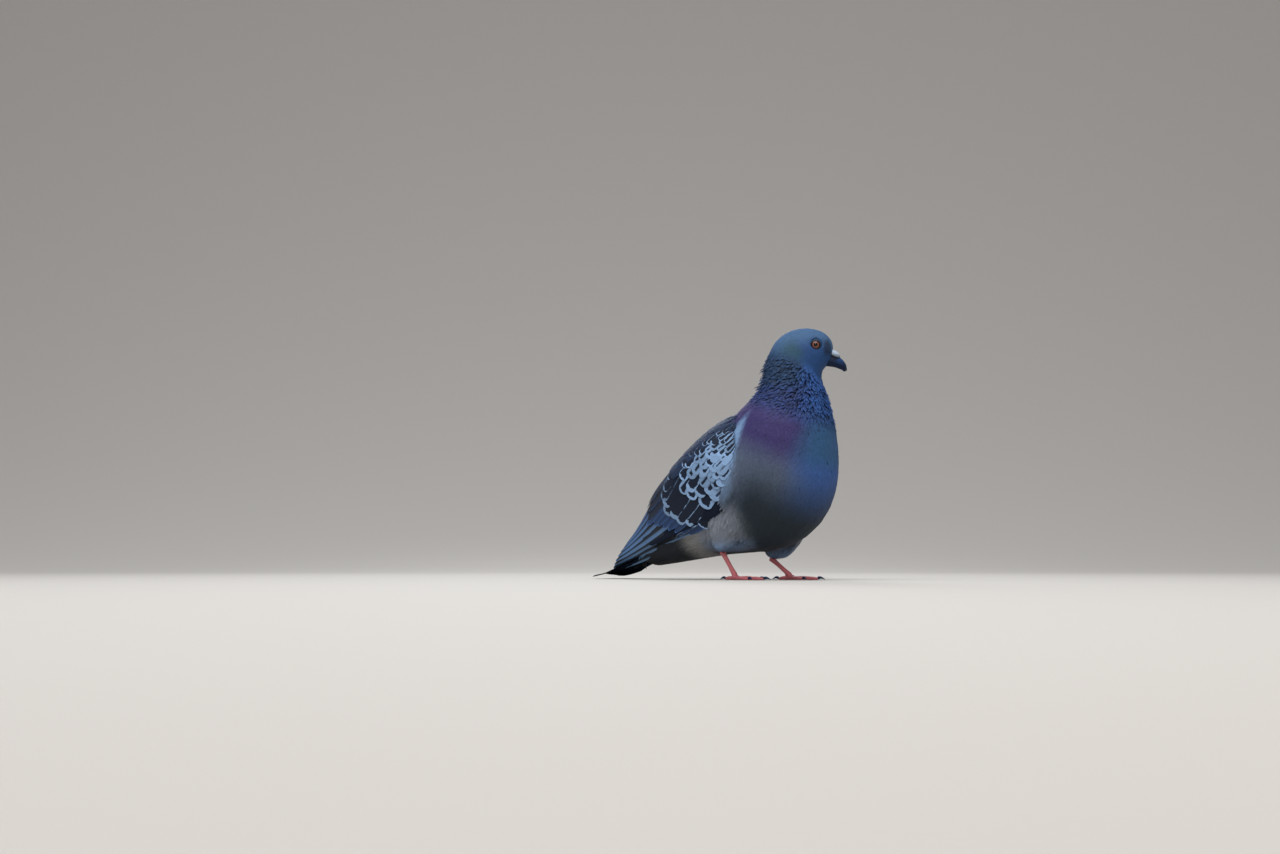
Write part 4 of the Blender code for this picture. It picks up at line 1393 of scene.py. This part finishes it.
# Rims of the lids: distance from the eye's axis, height over the eye's middle (mm) and its shade.
LID_PROFILE = (
    (3.34, 3.60, 0.03),
    (3.36, 4.12, 0.04),
    (3.55, 4.32, 0.05),
    (3.80, 4.30, 0.06),
    (4.05, 4.16, 0.08),
    (4.28, 3.84, 0.12),
    (4.50, 3.40, 0.26),
    (4.80, 2.85, 0.35),
    (5.20, 2.15, 0.40),
    (5.60, 1.40, 0.40),
    (4.40, 1.00, 0.10),
    (3.34, 2.60, 0.03),
)
LID_LONG = 0.06  # how much longer than high the opening between the lids is
LID_FRONT = 1.2 * MM  # how much lower the lids' outer part lies towards the bill


def lathe(name, centre, out, profile, long=0.0, ring=False):
    """A closed shape turned about an axis from pairs of distance and height (m)."""
    over = unit(np.cross(out, bill_way()))
    forth = unit(np.cross(over, out))
    turn = np.arange(EYE_SEGMENTS) * 2 * math.pi / EYE_SEGMENTS
    stretch = 1 + long * np.cos(2 * turn)
    around = (np.cos(turn) * stretch)[:, None] * forth + (np.sin(turn) * stretch)[:, None] * over
    corners = np.vstack([centre + around * distance + out * height for distance, height in profile])
    faces = []
    for r in range(len(profile) if ring else len(profile) - 1):
        this = r * EYE_SEGMENTS
        other = (r + 1) % len(profile) * EYE_SEGMENTS
        for k in range(EYE_SEGMENTS):
            following = (k + 1) % EYE_SEGMENTS
            faces.append((this + k, this + following, other + following, other + k))
    mesh = bpy.data.meshes.new(name)
    mesh.from_pydata(corners.tolist(), [], faces)
    item = new_object(name, mesh)
    merge_corners(item, 0.001 * MM)
    smooth_faces(mesh)
    return item


def eye_material():
    """A dark pupil, an orange iris and a dark rim, by the distance from the eye's axis."""
    made, tree, shader = new_material("eyeball", 0.15, Specular_IOR_Level=0.15)
    shader.inputs["Coat Weight"].default_value = 0.45
    shader.inputs["Coat Roughness"].default_value = 0.03
    distance = node(tree, "SeparateColor", ((0, painted(tree, "ring")),)).outputs[0]
    place = node(tree, "TexCoord").outputs["Object"]
    fibres = node(tree, "TexNoise", (("Vector", place), ("Scale", 1400.0), ("Detail", 3.0))).outputs[0]
    wander = maths(tree, "MULTIPLY_ADD", maths(tree, "SUBTRACT", fibres, 0.5), 0.06, distance)
    rings = node(tree, "ValToRGB", ((0, maths(tree, "DIVIDE", wander, sizes().iris / 2 / EYE_UNIT)),))
    iris = colours()["iris"]
    pupil = sizes().pupil / sizes().iris
    stops = (
        (0.0, (0.002, 0.002, 0.003)),
        (pupil, (0.002, 0.002, 0.003)),
        (pupil + 0.04, iris * (1.0, 1.15, 1.2)),
        (0.66, iris * (1.1, 1.1, 1.0)),
        (0.76, iris * (0.60, 0.38, 0.28)),
        (0.86, iris * (0.20, 0.11, 0.09)),
        (1.0, (0.004, 0.003, 0.004)),
    )
    elements = rings.color_ramp.elements
    for at, _ in stops[1:-1]:
        elements.new(at)
    for element, (_, rgb) in zip(elements, stops):
        element.color = (*rgb, 1)
    tree.links.new(rings.outputs[0], shader.inputs["Base Color"])
    return made


def make_eyeball(side, centre, out, material):
    radius = float(centre_and_half("eye_" + side)[1][2])
    turn = np.radians(np.linspace(0, 180, 48))
    bulge = radius * (1 + EYE_BULGE * np.exp(-((np.degrees(turn) / 30) ** 2)))
    profile = np.stack((bulge * np.sin(turn), bulge * np.cos(turn)), axis=1)
    item = lathe("eyeball_" + side, centre, out, profile)
    away = corners_of(item.data) - centre
    distance = np.where(away @ out < 0, 1.2, off_line(away, out) / EYE_UNIT)
    paint(item.data, "ring", distance[:, None])
    finish_piece(item, "eye", material, "eye_" + side)


def make_lid(side, centre, out, material):
    profile = np.array(LID_PROFILE)
    lid = lathe("lid_" + side, centre, out, profile[:, :2] * MM, LID_LONG, ring=True)
    corners = corners_of(lid.data)
    away = corners - centre
    distance = off_line(away, out) / MM
    lower = LID_FRONT * ramp(distance, 4.2, 5.2) * np.clip(away @ bill_way() / (5 * MM), 0, 1)
    place_corners(lid.data, corners - np.outer(lower, out))
    outer = profile[:-2]
    shade = np.interp(distance, outer[:, 0], outer[:, 2])
    around = body_colours(BodyAxis(), corners_of(lid.data)) * 0.9
    rgb = blend(shade[:, None] * colours()["crown"], around, ramp(distance, 4.3, 4.9))
    paint(lid.data, "plumage", rgb)
    finish_piece(lid, "eye", material)


def make_eyes():
    ball = eye_material()
    rim = grained_material("eyelid")
    for side in SIDES:
        centre = middle("eye_" + side)
        out = unit(centre - between_eyes())
        make_eyeball(side, centre, out, ball)
        make_lid(side, centre, out, rim)


# ---------------------------------------------------------------- bill and cere

BILL_REACH_BACK = 3.5 * MM  # how far the bill's base goes on inside the head
BILL_CLOSE = 0.12 * MM  # how far each half moves to close the bill
CERE_STRETCH = 1.25  # how much longer than its solid the cere is, down the slope of the bill
CERE_SWELL = 0.35 * MM
CERE_FLAT = 0.86  # how much lower
CERE_BACK = 1.0 * MM  # how much further back
CERE_DOWN = 1.3 * MM


def make_horn(part, material):
    """The upper or the lower half of the bill."""
    ahead = bill_way()
    low, high = box("bill_upper")
    item = refined("horn_" + part, ["bill_" + part], sizes().horn_cell, 4)
    corners = corners_of(item.data)
    reach = corners @ ahead
    share = (reach - reach.min()) / (reach.max() - reach.min())
    corners = corners - np.outer(1 - ramp(share, 0.0, 0.3), ahead) * BILL_REACH_BACK
    corners[:, 2] += BILL_CLOSE * (1 if part == "lower" else -1)
    place_corners(item.data, corners)
    height = (corners[:, 2] - low[2]) / (high[2] - low[2])
    # painted highlight: the upper middle of the bill is lighter, as if lit from above; the rest stays dark
    # horn
    lit = ramp(height, 0.25, 0.8) * ramp(share, 1.0, 0.75) * ramp(share, 0.25, 0.55)
    # darker under the cere's front: the nostril slit and painted shade beneath the cere
    nostril = np.linalg.norm(corners - middle("cere") + (0, 0, 2.2 * MM), axis=1)
    horn = colours()["horn"]
    tint = blend(horn * 0.55, horn * (1.9, 2.3, 2.5), lit)
    paint(item.data, "plumage", tint * (0.2 + 0.8 * ramp(nostril, 4.2 * MM, 5.6 * MM))[:, None])
    finish_piece(item, "dark_horn", material, "bill_" + part)


def make_cere():
    item = refined("cere_skin", ["cere"], sizes().fine_cell, 3)
    ahead = bill_way()
    centre, _ = centre_and_half("cere")
    slope = unit(ahead * 0.75 - np.array((0, 0, 0.66)))
    away = corners_of(item.data) - centre
    longer = np.outer(away @ slope, slope) * (CERE_STRETCH - 1)
    corners = centre + away + longer + normals_of(item.data) * CERE_SWELL - (0, 0, CERE_DOWN)
    top = corners[:, 2].max()
    corners[:, 2] = top - (top - corners[:, 2]) * CERE_FLAT
    corners = corners - ahead * CERE_BACK
    place_corners(item.data, corners)
    # painted shade: the cere grows darker towards its lower edge
    share = ramp(corners[:, 2], within("cere", 0, 0, 0)[2], within("cere", 0, 0, 0.4)[2])
    white = colours()["cere"]
    paint(item.data, "plumage", blend(white * 0.5, white, share))
    finish_piece(item, "white_cere", grained_material("cere_skin"), "cere")


def make_bill():
    horn = grained_material("horn")
    for part in ("upper", "lower"):
        make_horn(part, horn)
    make_cere()


# ---------------------------------------------------------------- legs

TOES = ("inner", "middle", "outer", "hind")
SCUTE = 1.7 * MM  # length of one scale of a toe
SCUTE_RELIEF = 0.13 * MM
LEG_SWELL = 0.3 * MM  # so that the thin toes keep their thickness when they are smoothed


def make_leg(side, material):
    """The bare shank, the palm and the toes of one side, with rings of scales."""
    nodes = [f"tarsus_{side}", f"palm_{side}"] + [f"toe_{toe}_{side}" for toe in TOES]
    item = copy_of_nodes("leg_" + side, nodes)
    item.data.materials.clear()
    place_corners(item.data, corners_of(item.data) + normals_of(item.data) * LEG_SWELL)
    apply_modifier(item, "REMESH", mode="VOXEL", voxel_size=sizes().leg_cell)
    apply_modifier(item, "SMOOTH", factor=0.5, iterations=5)
    corners = corners_of(item.data)
    normals = normals_of(item.data)
    run = np.linalg.norm((corners - middle(f"palm_{side}"))[:, :2], axis=1)
    shank = ramp(corners[:, 2], 3.6 * MM, 6.0 * MM)
    along = run * (1 - shank) + (corners[:, 2] + 0.6 * corners[:, 0]) * shank
    ridge = np.sin(np.pi * ((along / SCUTE) % 1.0)) ** 0.6
    top = ramp(normals[:, 2], -0.1, 0.5) * (1 - shank) + shank
    corners = corners - normals * (LEG_SWELL * 0.8 + SCUTE_RELIEF * (1 - ridge) * top)[:, None]
    corners[:, 2] = np.maximum(corners[:, 2], 0.0)
    place_corners(item.data, corners)
    smooth_faces(item.data)
    paint(item.data, "plumage", colours()["leg"] * (0.62 + 0.45 * ridge * top + 0.1 * (1 - top))[:, None])
    finish_piece(item, "red_skin", material, *nodes)


def make_legs():
    skin = grained_material("leg_scales")
    horn = grained_material("horn")
    for side in SIDES:
        make_leg(side, skin)
        nodes = [f"claw_{toe}_{side}" for toe in TOES]
        claws = refined("claws_" + side, nodes, sizes().fine_cell, 3)
        paint(claws.data, "plumage", colours()["horn"] * 0.9)
        finish_piece(claws, "dark_horn", horn, *nodes)


# ---------------------------------------------------------------- the studio

CAMERA_PLACE = Vector((0.8954, -1.3569, 0.020))
CAMERA_AIM = Vector((-0.0390, -0.0541, 0.130))
CAMERA_LENS = 52.94
BACKDROP_WIDTH = 4.0  # half of it
BACKDROP_AWAY = 0.7  # from the bird to the foot of the bend
BACKDROP_BEND = 2.4  # its radius
BACKDROP_HEIGHT = 4.0
PAPER = (202, 194, 185)
LIGHT_AIM = Vector((0, 0, 0.1))
# Name, place, size, power, spread (degrees) and colour.
LIGHTS = (
    ("light_above", (0.1, -0.5, 1.6), 1.6, 26.0, 180, (0.86, 0.93, 1.0)),
    ("light_camera_side", (1.1, -1.5, 1.1), 0.35, 8.0, 180, (1.0, 0.97, 0.93)),
    ("light_behind", (-1.0, 1.1, 0.9), 0.6, 1.1, 60, (0.9, 0.95, 1.0)),
)
SKY = (0.72, 0.76, 0.82, 1)
SKY_STRENGTH = 0.55


def aimed(place, aim):
    """The turn of a camera or a lamp that looks from a place at another."""
    return (aim - place).to_track_quat("-Z", "Y").to_euler()


def make_backdrop():
    """A floor that bends up into a wall behind the bird."""
    profile = [(-BACKDROP_WIDTH, 0.0)]
    for turn in np.linspace(0, math.pi / 2, 24):
        height = BACKDROP_BEND * (1 - math.cos(turn))
        profile.append((BACKDROP_AWAY + BACKDROP_BEND * math.sin(turn), height))
    profile.append((BACKDROP_AWAY + BACKDROP_BEND, BACKDROP_HEIGHT))
    away = (CAMERA_AIM - CAMERA_PLACE) * Vector((1, 1, 0))
    away.normalize()
    aside = Vector((-away.y, away.x, 0)) * BACKDROP_WIDTH
    corners = [away * run + aside * w + Vector((0, 0, z)) for run, z in profile for w in (-1, 1)]
    faces = [(2 * k, 2 * k + 1, 2 * k + 3, 2 * k + 2) for k in range(len(profile) - 1)]
    mesh = bpy.data.meshes.new("backdrop")
    mesh.from_pydata(corners, [], faces)
    smooth_faces(mesh)
    made, _, shader = new_material("warm_paper", 0.9)
    shader.inputs["Base Color"].default_value = (*srgb(*PAPER), 1)
    mesh.materials.append(made)
    new_object("backdrop", mesh)


def make_stage():
    scene = bpy.context.scene
    bpy.ops.object.camera_add(location=CAMERA_PLACE)
    camera = bpy.context.object
    camera.name = "camera"
    camera.rotation_euler = aimed(CAMERA_PLACE, CAMERA_AIM)
    camera.data.lens = CAMERA_LENS
    camera.data.clip_start = 0.01
    scene.camera = camera
    scene.view_settings.view_transform = "Standard"
    make_backdrop()
    for name, place, size, power, spread, tint in LIGHTS:
        bpy.ops.object.light_add(type="AREA", location=place)
        lamp = bpy.context.object
        lamp.name = name
        lamp.rotation_euler = aimed(lamp.location, LIGHT_AIM)
        lamp.data.size = size
        lamp.data.spread = math.radians(spread)
        lamp.data.energy = power
        lamp.data.color = tint
    scene.world = bpy.data.worlds.new("studio")
    scene.world.use_nodes = True
    background = scene.world.node_tree.nodes["Background"]
    background.inputs["Color"].default_value = SKY
    background.inputs["Strength"].default_value = SKY_STRENGTH


# ---------------------------------------------------------------- operators


class PIGEON_OT_stage(bpy.types.Operator):
    """Adds the camera, the floor and the lights"""

    bl_idname = "pigeon.stage"
    bl_label = "Add Studio"

    def execute(self, context):
        make_stage()
        return {"FINISHED"}


class PIGEON_OT_skin(bpy.types.Operator):
    """Makes one skin from the solids of head, neck, trunk, thighs and wings"""

    bl_idname = "pigeon.skin"
    bl_label = "Make Skin"

    def execute(self, context):
        make_skin()
        return {"FINISHED"}


class PIGEON_OT_coat(bpy.types.Operator):
    """Covers the skin with small feathers"""

    bl_idname = "pigeon.coat"
    bl_label = "Grow Small Feathers"

    def execute(self, context):
        make_coat()
        return {"FINISHED"}


class PIGEON_OT_wings(bpy.types.Operator):
    """Adds the coverts, the shoulder feathers and the flight feathers of both wings"""

    bl_idname = "pigeon.wings"
    bl_label = "Grow Wings"

    def execute(self, context):
        make_wings()
        return {"FINISHED"}


class PIGEON_OT_tail(bpy.types.Operator):
    """Adds the twelve tail feathers"""

    bl_idname = "pigeon.tail"
    bl_label = "Grow Tail"

    def execute(self, context):
        make_tail()
        return {"FINISHED"}


class PIGEON_OT_eyes(bpy.types.Operator):
    """Adds the eyeballs and their lids"""

    bl_idname = "pigeon.eyes"
    bl_label = "Add Eyes"

    def execute(self, context):
        make_eyes()
        return {"FINISHED"}


class PIGEON_OT_bill(bpy.types.Operator):
    """Adds both halves of the bill and the cere"""

    bl_idname = "pigeon.bill"
    bl_label = "Add Bill"

    def execute(self, context):
        make_bill()
        return {"FINISHED"}


class PIGEON_OT_legs(bpy.types.Operator):
    """Adds the bare legs, the toes and the claws"""

    bl_idname = "pigeon.legs"
    bl_label = "Add Legs"

    def execute(self, context):
        make_legs()
        return {"FINISHED"}


OPERATORS = (
    PIGEON_OT_stage,
    PIGEON_OT_skin,
    PIGEON_OT_coat,
    PIGEON_OT_wings,
    PIGEON_OT_tail,
    PIGEON_OT_eyes,
    PIGEON_OT_bill,
    PIGEON_OT_legs,
)


class PIGEON_PT_panel(bpy.types.Panel):
    """Lists the steps that dress the pigeon, with its sizes and colours"""

    bl_label = "Pigeon"
    bl_idname = "PIGEON_PT_panel"
    bl_space_type = "VIEW_3D"
    bl_region_type = "UI"
    bl_category = "Pigeon"

    def draw(self, context):
        column = self.layout.column()
        for operator in OPERATORS:
            column.operator(operator.bl_idname)
        for group in (context.scene.pigeon_sizes, context.scene.pigeon_colours):
            for name in type(group).__annotations__:
                column.prop(group, name)


CLASSES = (PigeonColours, PigeonSizes, *OPERATORS, PIGEON_PT_panel)


def register():
    for item in CLASSES:
        bpy.utils.register_class(item)
    bpy.types.Scene.pigeon_colours = PointerProperty(type=PigeonColours)
    bpy.types.Scene.pigeon_sizes = PointerProperty(type=PigeonSizes)


def unregister():
    del bpy.types.Scene.pigeon_sizes
    del bpy.types.Scene.pigeon_colours
    for item in reversed(CLASSES):
        bpy.utils.unregister_class(item)


def main():
    register()
    bpy.ops.pigeon.stage()
    bpy.ops.pigeon.skin()
    bpy.ops.pigeon.coat()
    bpy.ops.pigeon.wings()
    bpy.ops.pigeon.tail()
    bpy.ops.pigeon.eyes()
    bpy.ops.pigeon.bill()
    bpy.ops.pigeon.legs()


if __name__ == "__main__":
    main()
